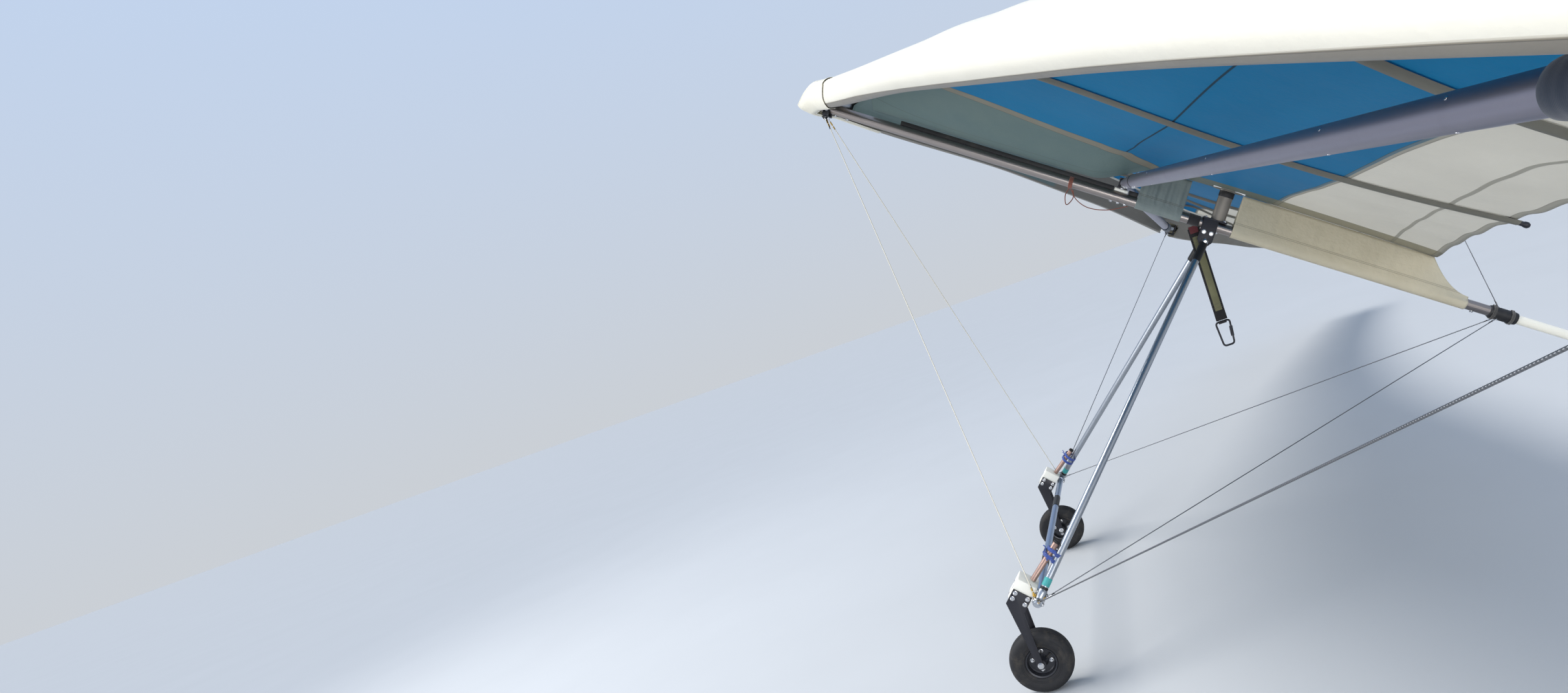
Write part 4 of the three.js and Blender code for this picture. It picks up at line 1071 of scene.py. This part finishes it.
def make_crossbar(name, side):
    bar = Body()
    path = [CROSSBAR_INNER, CROSSBAR_INNER + run * 0.012, CROSSBAR_INNER + run * 0.19,
            CROSSBAR_INNER + run * 0.23, sleeve_start + run * 0.02]
    bar.tube(path, [0.0145, 0.0160, 0.0256, CROSSBAR_RADIUS, CROSSBAR_RADIUS], 56, 0)
    bar.lathe(CROSSBAR_INNER + run * 0.232, run,
              [(0, 0.0256), (0.0005, 0.0267), (0.014, 0.0267), (0.0145, 0.0256)], 40, 1)
    for at in (0.05, 0.11, 0.26, 0.30):
        spot = CROSSBAR_INNER + run * at
        radius = float(np.interp(at, (0.012, 0.19, 0.23), (0.016, 0.0256, CROSSBAR_RADIUS)))
        bar.bolt(spot + vec(0, 0, radius), (0, 0, 1), 0.0035, 2)
        bar.bolt(spot - vec(0, 0, radius), (0, 0, -1), 0.0035, 2)
    rivet = unit(np.cross(run, vec(0, 0, 1)))
    for at in (0.6, 1.35, 2.05, 2.42):
        spot = CROSSBAR_INNER + run * at
        for turn in (0.3, 2.4, 4.5):
            out = rivet * math.cos(turn) + vec(0, 0, 1) * math.sin(turn)
            bar.lathe(spot + out * (CROSSBAR_RADIUS - 0.0004), out,
                      [(0, 0.0032), (0.0008, 0.003), (0.0014, 0.0018), (0.0015, 0)], 12, 2)
    bar.make(f"crossbar_{name}", [CROSS, WRAP, STEEL], side=side, slot="anodised_tube", angle=40)


def make_crossbar_sleeve(name, side):
    pad = Body()
    hem = 0.012
    lip = [(0.0, CROSSBAR_RADIUS + GAP), (0.0008, PAD_RADIUS - 0.004), (0.005, PAD_RADIUS - 0.0013),
           (hem, PAD_RADIUS - 0.0001)]
    middle = [(hem + (sleeve_length - 2 * hem) * t,
               PAD_RADIUS + 0.0006 * math.sin(t * 31) + 0.0004 * math.sin(t * 77))
              for t in np.linspace(0.03, 0.97, 60)]
    profile = lip + middle + [(sleeve_length - a, r) for a, r in reversed(lip)]
    pad.lathe(sleeve_start + run * GAP, run, profile, 56, 0)
    seam = unit(vec(0, 0.5, 0.86) - run * (run @ vec(0, 0.5, 0.86)))
    pad.tube([sleeve_start + run * d + seam * (PAD_RADIUS + 0.0006)
              for d in np.linspace(0.01, sleeve_length - 0.01, 14)], 0.0016, 8, 1)
    piece = pad.make(f"crossbar_sleeve_{name}", [NAVY, THREAD], side=side, slot="navy_cloth", angle=50)


def make_crossbar_end(name, side):
    end = Body()
    socket = CROSSBAR_OUTER + run * GAP
    end.lathe(socket, run,
              [(0, 0.0), (0, 0.0198), (0.002, 0.0204), (0.026, 0.0204), (0.030, 0.018), (0.030, 0)], 32, 0)
    end.rod(socket + run * 0.022, junction, 0.0150, 24, 0, 0.0135)
    end.lathe(junction + vec(0, 0, -0.018), (0, 0, 1),
              [(0, 0), (0, 0.012), (0.003, 0.0165), (0.030, 0.0165), (0.036, 0.012), (0.0376, 0)], 32, 1)
    end.rod(junction, junction + vec(0, 0.052, 0), 0.006, 16, 0)
    end.rod(junction + vec(0, 0.052, -0.006), upper_tang + vec(0, 0, 0.006), 0.006, 16, 0)
    for way in (1, -1):
        end.bolt(socket + run * 0.012 + vec(0, 0, way * 0.0204), (0, 0, way), 0.004, 1)
    end.make(f"crossbar_end_bracket_{name}", [BLACK, STEEL], side=side, slot="black_fitting", angle=35)


for name, side in SIDES:
    make_crossbar(name, side)
    make_crossbar_sleeve(name, side)
    make_crossbar_end(name, side)

hinge = Body()
centre = vec(0, CROSSBAR_INNER[1], CROSSBAR_INNER[2])
outline = ((-0.042, -0.012), (-0.034, -0.022), (0.034, -0.022), (0.042, -0.012),
           (0.042, 0.012), (0.034, 0.022), (-0.034, 0.022), (-0.042, 0.012))
for z in (0.0185, -0.0185):
    hinge.plate([centre + vec(x, y, z) for x, y in outline], 0.004, (0, 0, 1), 0.001, 0)
hinge.rod(centre + vec(-0.026, 0, -0.022), centre + vec(-0.026, 0, 0.022), 0.008, 20, 1)
hinge.rod(centre + vec(0.026, 0, -0.022), centre + vec(0.026, 0, 0.022), 0.008, 20, 1)
hinge.block(centre, (0.026, 0.040, 0.034), None, 0.003, 0)
hinge.block(centre + vec(0, 0, -0.029), (0.030, 0.060, 0.012), None, 0.003, 2)
for x in (-0.026, 0.026):
    hinge.bolt(centre + vec(x, 0, 0.0205), (0, 0, 1), 0.004, 1)
    hinge.bolt(centre + vec(x, 0, -0.0205), (0, 0, -1), 0.004, 1)
hinge.make("crossbar_centre_hinge", [BLACK, STEEL, NYLON], slot="black_fitting", angle=30)

# Kingpost: streamlined section, foot, a black collar painted as the shade under the sail's slot, and the cloth
# edge of its slot
post = Body()
sections = [(0.015 * math.cos(t), 0.031 * math.sin(t)) for t in turn_steps(48)]
post.rings([[(x, KINGPOST_Y + y, z) for x, y in sections]
            for z in (KINGPOST_FOOT, KINGPOST_FOOT + 0.4, KINGPOST_FOOT + 1.11)], 0)
# Black band just under the sail: painted shade where the post passes through the slot
post.rings([[(x * k, KINGPOST_Y + y * k, z) for x, y in sections]
            for z, k in ((KINGPOST_FOOT + 0.100, 1.02), (KINGPOST_FOOT + 0.101, 1.06),
                         (KINGPOST_FOOT + 0.124, 1.06), (KINGPOST_FOOT + 0.125, 1.02))], 1)
post.make("kingpost", [POST_METAL, WRAP], slot="anodised_tube", angle=40)
cap = Body()
top = KINGPOST_FOOT + KINGPOST_HEIGHT - 0.020
cap.block((0, KINGPOST_Y, top), (0.034, 0.066, 0.040), None, 0.006, 0, 3)
for way in (1, -1):
    cap.bolt((way * 0.017, KINGPOST_Y, top), (way, 0, 0), 0.004, 1)
cap.make("kingpost_cap", [BLACK, STEEL], slot="black_fitting", angle=30)
collar = Body()
rim = [(0.022 * math.cos(t), KINGPOST_Y + 0.060 * math.sin(t)) for t in turn_steps(48)]
collar.tube([(x, y, root_height(y) - 0.001) for x, y in rim], 0.0038, 10, 0, around=True, flat=(0.6, 1.6))
collar.make("kingpost_slot_hem", [POCKET_CLOTH], angle=60)

# Apex bracket and the wrapped tops of the uprights
apex = Body()
plate_z = KEEL_RADIUS + GAP + 0.003
apex.block((0, APEX[1] + 0.016, plate_z), (0.060, 0.104, 0.006), None, 0.0018, 0)
cheek = ((1.774, 0.024), (1.840, 0.024), (1.840, -0.070), (1.826, -0.088), (1.788, -0.088), (1.774, -0.070))
for side in (1, -1):
    apex.plate([(side * 0.026, y, z) for y, z in cheek], 0.008, (1, 0, 0), 0.0018, 0)
    for y, z in ((1.792, -0.034), (1.824, -0.034), (1.807, -0.070)):
        apex.bolt((side * 0.030, y, z), (side, 0, 0), 0.0045, 1)
for y in (1.782, 1.862):
    for x in (-0.018, 0.018):
        apex.bolt((x, y, plate_z + 0.003), (0, 0, 1), 0.004, 1)
apex.make("apex_bracket", [BLACK, STEEL], slot="black_fitting", angle=30)


def tube_profile(length):
    """A control frame tube with softened ends."""
    chamfer = 0.001
    return [(0, 0), (0, FRAME_RADIUS - chamfer), (chamfer, FRAME_RADIUS), (length - chamfer, FRAME_RADIUS),
            (length, FRAME_RADIUS - chamfer), (length, 0)]


axis = unit(corner - upright_top)
for name, side in SIDES:
    leg = Body()
    foot = corner - axis * 0.0463
    length = float(np.linalg.norm(foot - upright_top))
    leg.lathe(upright_top, axis, tube_profile(length), 48, 0)
    profile = [(0, FRAME_RADIUS), (0.001, 0.0168)] + ribbed(0.004, 0.006, 0.0172, 0.0005, 14)
    profile += [(0.090, 0.0168), (0.091, FRAME_RADIUS)]
    leg.lathe(upright_top + axis * 0.014, axis, profile, 36, 1)
    leg.bolt(upright_top + axis * 0.004 + vec(FRAME_RADIUS, 0, 0), (1, 0, 0), 0.004, 2)
    leg.lathe(foot - axis * 0.012, axis,
              [(0, FRAME_RADIUS), (0.0006, 0.0158), (0.0100, 0.0158), (0.0106, FRAME_RADIUS)], 36, 1)
    leg.make(f"upright_{name}", [SILVER, WRAP, STEEL], side=side, slot="anodised_tube", angle=40)

bar = Body()
end = corner[0] - 0.0323
bar.lathe((-end, corner[1], corner[2]), (1, 0, 0), tube_profile(2 * end), 48, 0)
for x in (-0.44, 0.29):
    profile = [(0, FRAME_RADIUS), (0.002, 0.0164)] + ribbed(0.004, 0.0036, 0.0166, 0.0003, 40)
    profile += [(0.149, 0.0164), (0.151, FRAME_RADIUS)]
    bar.lathe((x, corner[1], corner[2]), (1, 0, 0), profile, 40, 1)
bar.make("base_bar", [BLUE_TUBE, WRAP], slot="anodised_tube", angle=40)

# Corner knuckles with their bolts, shackles and tape
for name, side in SIDES:
    knuckle = Body()
    path = [corner - axis * 0.046, corner - axis * 0.024, corner - axis * 0.012 - vec(0.003, 0, 0),
            corner - vec(0.012, 0, 0), corner - vec(0.032, 0, 0)]
    knuckle.tube(smooth_line(path, 16), [0.0175] + [0.0188] * 14 + [0.0175], 32, 0)
    knuckle.lathe(corner - vec(0.004, 0, 0), (1, 0, 0),
                  [(0, 0), (0, 0.0188), (0.015, 0.0190), (0.018, 0.0170), (0.018, 0)], 32, 0)
    knuckle.lathe(corner, axis, [(0, 0), (0, 0.0185), (0.008, 0.0185), (0.010, 0.0165), (0.010, 0)], 32, 0)
    across = unit(np.cross(axis, vec(1, 0, 0)))
    for spot in (corner - axis * 0.034, corner - vec(0.024, 0, 0), corner + vec(0.004, 0, 0)):
        for out in (across, -across):
            knuckle.bolt(spot + out * 0.0188, out, 0.0042, 1)
    for target in (nose_tang, tail_tang, junction):
        way = unit(target - corner_tang)
        shank = [corner_tang + way * 0.004, corner_tang + way * 0.026]
        knuckle.tube(shank, [0.0052, 0.0040], 12, 2, flat=(0.5, 1.5))
        eye = torus_path(corner_tang + way * 0.030, np.cross(way, vec(0, 0.3, 1)), 0.0058, 20)
        knuckle.tube(eye, 0.0017, 8, 2, around=True)
    knuckle.rod(corner - axis * 0.062, corner - axis * 0.094, 0.0158, 32, 3)
    looks = [SILVER, STEEL, BRASS, TEAL]
    knuckle.make(f"corner_bracket_{name}", looks, side=side, slot="anodised_tube", angle=35)

# Wheels, forks, blocks and the legs lashed to the uprights
BLOCK = (0.082, 0.084, 0.086)
block_ahead = 0.019 + GAP + BLOCK[1] / 2
mount = vec(WHEEL[0], corner[1], corner[2]) + frame_ahead * block_ahead + frame_down * 0.008
lashed = corner - axis * 0.225 + frame_ahead * (FRAME_RADIUS + LEG_RADIUS + 0.003)
leg_foot = mount + frame_down * (BLOCK[2] / 2 + GAP) - frame_ahead * 0.006 + vec(0.014, 0, 0)
leg_way = unit(lashed - leg_foot)
frame_axes = (vec(1, 0, 0), frame_ahead, frame_down)


def make_fork_block(name, side):
    nylon = Body()
    nylon.block(mount, BLOCK, frame_axes, 0.004, 0, 3)
    for a in (-0.024, 0.024):
        nylon.lathe(mount + frame_ahead * (BLOCK[1] / 2 - 0.0004) + vec(a, 0, 0), frame_ahead,
                    [(0, 0.008), (0.001, 0.008), (0.0012, 0.006), (0.0012, 0)], 20, 1)
    nylon.make(f"fork_block_{name}", [NYLON, STEEL], side=side, slot="white_nylon", angle=30)


def make_wheel_leg(name, side):
    leg = Body()
    top_of_block = mount - frame_down * (BLOCK[2] / 2 + 0.0006)
    share = ((top_of_block - leg_foot) @ frame_down) / (leg_way @ frame_down)
    start = leg_foot + leg_way * share
    length = float(np.linalg.norm(lashed - start))
    profile = [(0, 0), (0, LEG_RADIUS - 0.0002), (length - 0.004, LEG_RADIUS),
               (length - 0.003, LEG_RADIUS - 0.0008), (length - 0.003, 0)]
    leg.lathe(start + leg_way * 0.003, leg_way, profile, 36, 0)
    leg.lathe(lashed - leg_way * 0.004, leg_way,
              [(0, 0.0108), (0.0005, 0.0126), (0.008, 0.0126), (0.0105, 0.009), (0.0108, 0)], 32, 1)
    for at in (0.035, 0.062):
        spot = lashed - leg_way * at
        lashing(leg, spot - frame_ahead * 0.014, leg_way, 0.0305, 3, 0.0022, 2)
    for end_way in ((0.6, 0.3, -0.4), (0.2, -0.4, 0.7), (0.8, -0.3, 0.3)):
        start_at = lashed - leg_way * 0.048 + frame_ahead * 0.016
        tail = unit(end_way)
        leg.tube([start_at, start_at + tail * 0.018 + vec(0, 0, 0.004),
                  start_at + tail * 0.034 - vec(0, 0, 0.006)], [0.0019, 0.0019, 0.0026], 7, 2)
    leg.make(f"wheel_leg_{name}", [PINK, RUBBER, BLUE_CORD], side=side, slot="anodised_tube", angle=40)


def make_fork(name, side):
    """Two cheeks from the block to the axle: down ahead, round the axle and up behind."""
    fork = Body()
    half, low = BLOCK[1] / 2 - 0.003, BLOCK[2] / 2
    at_block = ((-half, -0.002), (half, -0.002), (half, low + 0.020))
    at_axle = ((0.016, 0.004), (0.011, 0.014), (0.003, 0.019),
               (-0.007, 0.017), (-0.014, 0.009), (-0.016, 0))
    outline = [mount + frame_ahead * a + frame_down * d for a, d in at_block]
    outline += [WHEEL + frame_ahead * a + frame_down * d for a, d in at_axle]
    outline.append(mount - frame_ahead * half + frame_down * (low + 0.026))
    inner = BLOCK[0] / 2 + GAP
    for way in (1, -1):
        offset = way * (inner + 0.0025)
        fork.plate([vec(WHEEL[0] + offset, p[1], p[2]) for p in outline], 0.005, (1, 0, 0), 0.0012, 0)
        for a, d in ((-0.026, 0.010), (0.026, 0.010), (-0.026, 0.034), (0.026, 0.034)):
            spot = mount + frame_ahead * a + frame_down * d
            fork.bolt(vec(WHEEL[0] + way * (inner + 0.005), spot[1], spot[2]), (way, 0, 0), 0.0043, 1)
        tip = WHEEL + vec(way * (inner + 0.005), 0, 0)
        fork.lathe(tip, (way, 0, 0), [(0, 0), (0, 0.0125), (0.0016, 0.0125), (0.0018, 0.0)], 28, 1)
        fork.lathe(tip + vec(way * 0.0016, 0, 0), (way, 0, 0),
                   [(0, 0), (0, 0.0110), (0.0055, 0.0110), (0.0064, 0.0098), (0.0064, 0)], 6, 1)
    fork.rod(WHEEL - vec(inner + 0.004, 0, 0), WHEEL + vec(inner + 0.004, 0, 0), 0.0068, 28, 1)
    fork.make(f"fork_{name}", [BLACK, STEEL], side=side, slot="black_fitting", angle=30)


def turned_rings(middle, profile, count):
    """Rings round the wheel's axle for (distance along it, radius) pairs."""
    return [[middle + vec(a, r * math.cos(t), r * math.sin(t)) for t in turn_steps(count)]
            for a, r in profile]


def make_tyre(name, side):
    tyre = Body()
    wall = [(-0.0245, 0.0626), (-0.0275, 0.0655), (-0.0285, 0.0690), (-0.0318, 0.0790), (-0.0345, 0.0905),
            (-0.0350, 0.0990), (-0.0340, 0.1070), (-0.0310, 0.1138), (-0.0262, 0.1190), (-0.0200, 0.1226)]
    tread = [(-0.0150, 0.1243), (-0.0140, 0.1230), (-0.0128, 0.1230), (-0.0118, 0.1250), (-0.0060, 0.1259),
             (-0.0050, 0.1246), (-0.0038, 0.1246), (-0.0028, 0.1260)]
    profile = wall + tread
    profile += [(-a, r) for a, r in reversed(profile)]
    profile += [(0.0200, 0.0624), (-0.0200, 0.0624)]
    middle = WHEEL * (side, 1, 1)
    tyre.rings(turned_rings(middle, profile, 96), 0, around=True)
    for way in (1, -1):
        for radius in (0.0745, 0.0795, 0.1010):
            bulge = float(np.interp(radius, (0.069, 0.079, 0.0905, 0.099, 0.107),
                                    (0.0285, 0.0318, 0.0345, 0.035, 0.034)))
            tyre.tube([middle + vec(way * bulge, radius * math.cos(t), radius * math.sin(t))
                       for t in turn_steps(80)], 0.0008, 6, 0, around=True)
    tyre.make(f"tyre_{name}", [TYRE], slot="tyre_rubber", rides=f"wheel_{name}", angle=50)


def make_rim(name, side):
    rim = Body()
    hub = [(-0.0405, 0.0080), (-0.0405, 0.0190), (-0.0390, 0.0200), (-0.0120, 0.0205), (-0.0090, 0.0225)]
    disc = [(-0.0045, 0.0270), (-0.0040, 0.0480), (-0.0070, 0.0520), (-0.0200, 0.0545), (-0.0235, 0.0560)]
    profile = hub + disc + [(-0.0255, 0.0615), (-0.0245, 0.0619), (-0.0215, 0.0617)]
    profile += [(-a, r) for a, r in reversed(profile)]
    middle = WHEEL * (side, 1, 1)
    rim.rings(turned_rings(middle, profile, 72), 0, around=True)
    for way in (1, -1):
        for k in range(4):
            t = k * math.pi / 2 + 0.4
            spot = middle + vec(way * 0.0042, 0.0375 * math.cos(t), 0.0375 * math.sin(t))
            rim.bolt(spot, (way, 0, 0), 0.0040, 1)
    valve = unit((0, math.cos(1.1), math.sin(1.1)))
    rim.lathe(middle + valve * 0.0500 + vec(0.012, 0, 0), -valve + vec(0.25, 0, 0),
              [(0, 0.0045), (0.006, 0.004), (0.007, 0.0032), (0.020, 0.0032), (0.021, 0.0026),
               (0.024, 0.0026), (0.0245, 0)], 14, 2)
    rim.make(f"rim_{name}", [RIM, STEEL, RUBBER], slot="rim_steel", rides=f"wheel_{name}", angle=35)


for name, side in SIDES:
    make_fork_block(name, side)
    make_wheel_leg(name, side)
    make_fork(name, side)
    make_tyre(name, side)
    make_rim(name, side)

# The hang strap: webbing from the loop round the keel to the carabiner, in one piece
STRAP_Y = 1.738
STRAP_EYE = -0.436
STRAP_WIDTH = 0.048
WEB = 0.0024
plumb = Matrix.Translation((0, STRAP_Y, -KEEL_RADIUS - 0.001)) @ Matrix.Rotation(PITCH, 4, "X")


def hung(x, y, z):
    return np.array(plumb @ Vector((x, y, z)))


def strap_band(body, line, width, thickness, slot):
    """Flat webbing along a line of (x, z) points in the strap's own plane, with its width along Y."""
    line = [np.asarray(p, float) for p in line]
    rings = []
    for i, p in enumerate(line):
        tangent = unit(line[min(i + 1, len(line) - 1)] - line[max(i - 1, 0)])
        normal = np.array((tangent[1], -tangent[0])) * thickness / 2
        edge = width / 2
        ring = []
        for y, lift in ((-edge, 0.55), (-edge + 0.0012, 1), (edge - 0.0012, 1), (edge, 0.55),
                        (edge, -0.55), (edge - 0.0012, -1), (-edge + 0.0012, -1), (-edge, -0.55)):
            q = p + normal * lift
            ring.append(hung(q[0], y, q[1]))
        rings.append(ring)
    body.rings(rings, slot)


strap = Body()
for side in (1, -1):
    drop = [(side * 0.0035, z) for z in np.linspace(-0.012, -0.400, 60)]
    round_eye = [(side * (0.0035 + 0.0040 * t), -0.400 - 0.029 * t) for t in np.linspace(0.1, 1, 8)]
    strap_band(strap, drop + round_eye, STRAP_WIDTH, WEB, 0)
under = [(0.0085 * math.cos(t), STRAP_EYE + 0.0085 * math.sin(t))
         for t in np.linspace(0.35, -math.pi - 0.35, 26)]
strap_band(strap, under, 0.034, WEB, 0)
for x in (0.0062, -0.0062):
    strap_band(strap, [(x, z) for z in np.linspace(-0.050, -0.385, 40)], 0.030, 0.0016, 1)
for z in (-0.060, -0.075, -0.355, -0.372):
    for way in (1, -1):
        strap.tube([hung(way * 0.0064, y, z) for y in np.linspace(-0.021, 0.021, 12)], 0.0009, 6, 3)
looks = [WEBBING, OLIVE, MAROON, THREAD]
webbing = strap.make("hang_strap", looks, slot="black_webbing", rides=None, angle=40)
start = AIRFRAME @ plumb @ Vector((0, 0, -0.030))
end = AIRFRAME @ plumb @ Vector((0, 0, -0.062))
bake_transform(webbing)

collar = Body()
belt = [(-0.024, 0.0008), (-0.025, 0.0022), (-0.024, 0.0038),
        (0.024, 0.0038), (0.025, 0.0022), (0.024, 0.0008)]
belt = [(y, KEEL_RADIUS + lift) for y, lift in belt]
flat_ring = [[(radius * math.cos(t), STRAP_Y + y, radius * math.sin(t)) for y, radius in belt]
             for t in turn_steps(56)]
collar.rings(flat_ring, 0, around=True)
for way in (1, -1):
    line = [(way * (0.0085 + 0.006 * math.sin(math.pi * t)), -0.004 - 0.030 * t)
            for t in np.linspace(0, 1, 12)]
    strap_band(collar, line, 0.036, 0.0022, 1)
collar.make("hang_loop", [WEBBING, MAROON], slot="black_webbing", angle=40)

GATE_RADIUS = 0.0072
hook = Body()
half, taper, length = 0.031, 0.008, 0.108
corners = [(-half, 0.0), (half, 0.0), (half - taper, -length), (-half + taper, -length)]
loop = []
for i in range(4):
    a, b, c = (np.array(corners[k % 4]) for k in (i + 3, i, i + 1))
    radius = 0.014
    p, q = b + unit(a - b) * radius, b + unit(c - b) * radius
    loop += [(1 - t) ** 2 * p + 2 * t * (1 - t) * b + t * t * q for t in np.linspace(0, 1, 8)]
hook.tube([hung(0, y, STRAP_EYE + z) for y, z in loop], 0.0050, 16, 0, around=True, flat=(0.85, 1.0))
gate_top, gate_foot = np.array((half - 0.003, -0.030)), np.array((half - taper + 0.001, -0.074))
hook.rod(hung(0, gate_top[0], STRAP_EYE + gate_top[1]), hung(0, gate_foot[0], STRAP_EYE + gate_foot[1]),
         GATE_RADIUS, 20, 0)
for d in np.linspace(0.15, 0.85, 9):
    spot = gate_top + (gate_foot - gate_top) * d
    groove = torus_path(hung(0, spot[0], STRAP_EYE + spot[1]), hung(0, *gate_foot) - hung(0, *gate_top),
                        GATE_RADIUS, 20)
    hook.tube(groove, 0.0005, 5, 0, around=True)
hook.make("carabiner", [BLACK], slot="black_fitting", rides="strap", angle=40)

# Floor, light and camera
FLOOR_REACH = 260.0
floor = bpy.data.meshes.new("floor")
corners = [(-1, -1), (1, -1), (1, 1), (-1, 1)]
floor.from_pydata([(x * FLOOR_REACH, y * FLOOR_REACH, 0) for x, y in corners], [], [(0, 1, 2, 3)])
ground = Shader("floor_paint")
speck = ground.noise(1.2, 5.0)
floor.materials.append(ground.finish(ground.surface(
    colour=ground.mix(speck, rgb(178, 180, 182), rgb(183, 185, 187)), rough=0.9, specular=0.1)))
floor_piece = bpy.data.objects.new("floor", floor)
bpy.context.collection.objects.link(floor_piece)

world = bpy.data.worlds.new("studio")
bpy.context.scene.world = world
world.use_nodes = True
backdrop = world.node_tree.nodes["Background"]
sky = world.node_tree
direction = sky.nodes.new("ShaderNodeTexCoord").outputs["Generated"]
height = sky.nodes.new("ShaderNodeSeparateXYZ")
sky.links.new(direction, height.inputs[0])
ramp = sky.nodes.new("ShaderNodeValToRGB")
sky.links.new(height.outputs[2], ramp.inputs[0])
ramp.color_ramp.elements[0].position = 0.0
ramp.color_ramp.elements[0].color = (0.54, 0.57, 0.61, 1.0)
ramp.color_ramp.elements[1].position = 0.55
ramp.color_ramp.elements[1].color = (0.48, 0.60, 0.80, 1.0)
sky.links.new(ramp.outputs[0], backdrop.inputs["Color"])
backdrop.inputs["Strength"].default_value = 1.1


def soft_light(name, place, target, size, power, colour=(1, 1, 1)):
    data = bpy.data.lights.new(name, "AREA")
    data.shape = "RECTANGLE"
    data.size, data.size_y = size
    data.energy = power
    data.color = colour
    lamp = bpy.data.objects.new(name, data)
    lamp.location = place
    lamp.rotation_euler = (Vector(target) - Vector(place)).to_track_quat("-Z", "Y").to_euler()
    bpy.context.collection.objects.link(lamp)


high_data = bpy.data.lights.new("high_soft", "SUN")
high_data.energy = 2.4
high_data.angle = math.radians(25)
high_data.color = (1.0, 0.97, 0.92)
high = bpy.data.objects.new("high_soft", high_data)
high.rotation_euler = Vector((0.10, 0.42, -1.0)).to_track_quat("-Z", "Y").to_euler()
bpy.context.collection.objects.link(high)
soft_light("low_soft", (7.5, 0.7, 1.3), (0.4, -0.4, 1.9), (4.0, 2.0), 290, (1.0, 0.99, 0.97))
soft_light("nose_soft", (2.5, -7.5, 3.5), (0.5, -0.5, 1.4), (6.0, 4.0), 330, (1.0, 0.98, 0.94))

camera_data = bpy.data.cameras.new("camera")
camera = bpy.data.objects.new("camera", camera_data)
bpy.context.collection.objects.link(camera)
bpy.context.scene.camera = camera
bpy.context.scene.view_settings.view_transform = "Standard"
bpy.context.scene.view_settings.look = "None"
bpy.context.scene.view_settings.exposure = 0.0
camera_data.sensor_width = SENSOR
camera_data.lens = FOCAL_PIXELS / IMAGE_WIDTH * SENSOR
camera_data.shift_x = -CENTRE_RIGHT / IMAGE_WIDTH
camera_data.shift_y = CENTRE_DOWN / IMAGE_WIDTH
camera_data.clip_start = 0.05
camera_data.clip_end = 800.0
ahead = CAMERA_FORWARD.normalized()
right = (CAMERA_RIGHT - ahead * CAMERA_RIGHT.dot(ahead)).normalized()
above = right.cross(ahead)
stand = Matrix((right, above, -ahead)).transposed().to_4x4()
stand.translation = CAMERA_PLACE
camera.matrix_world = AIRFRAME @ stand
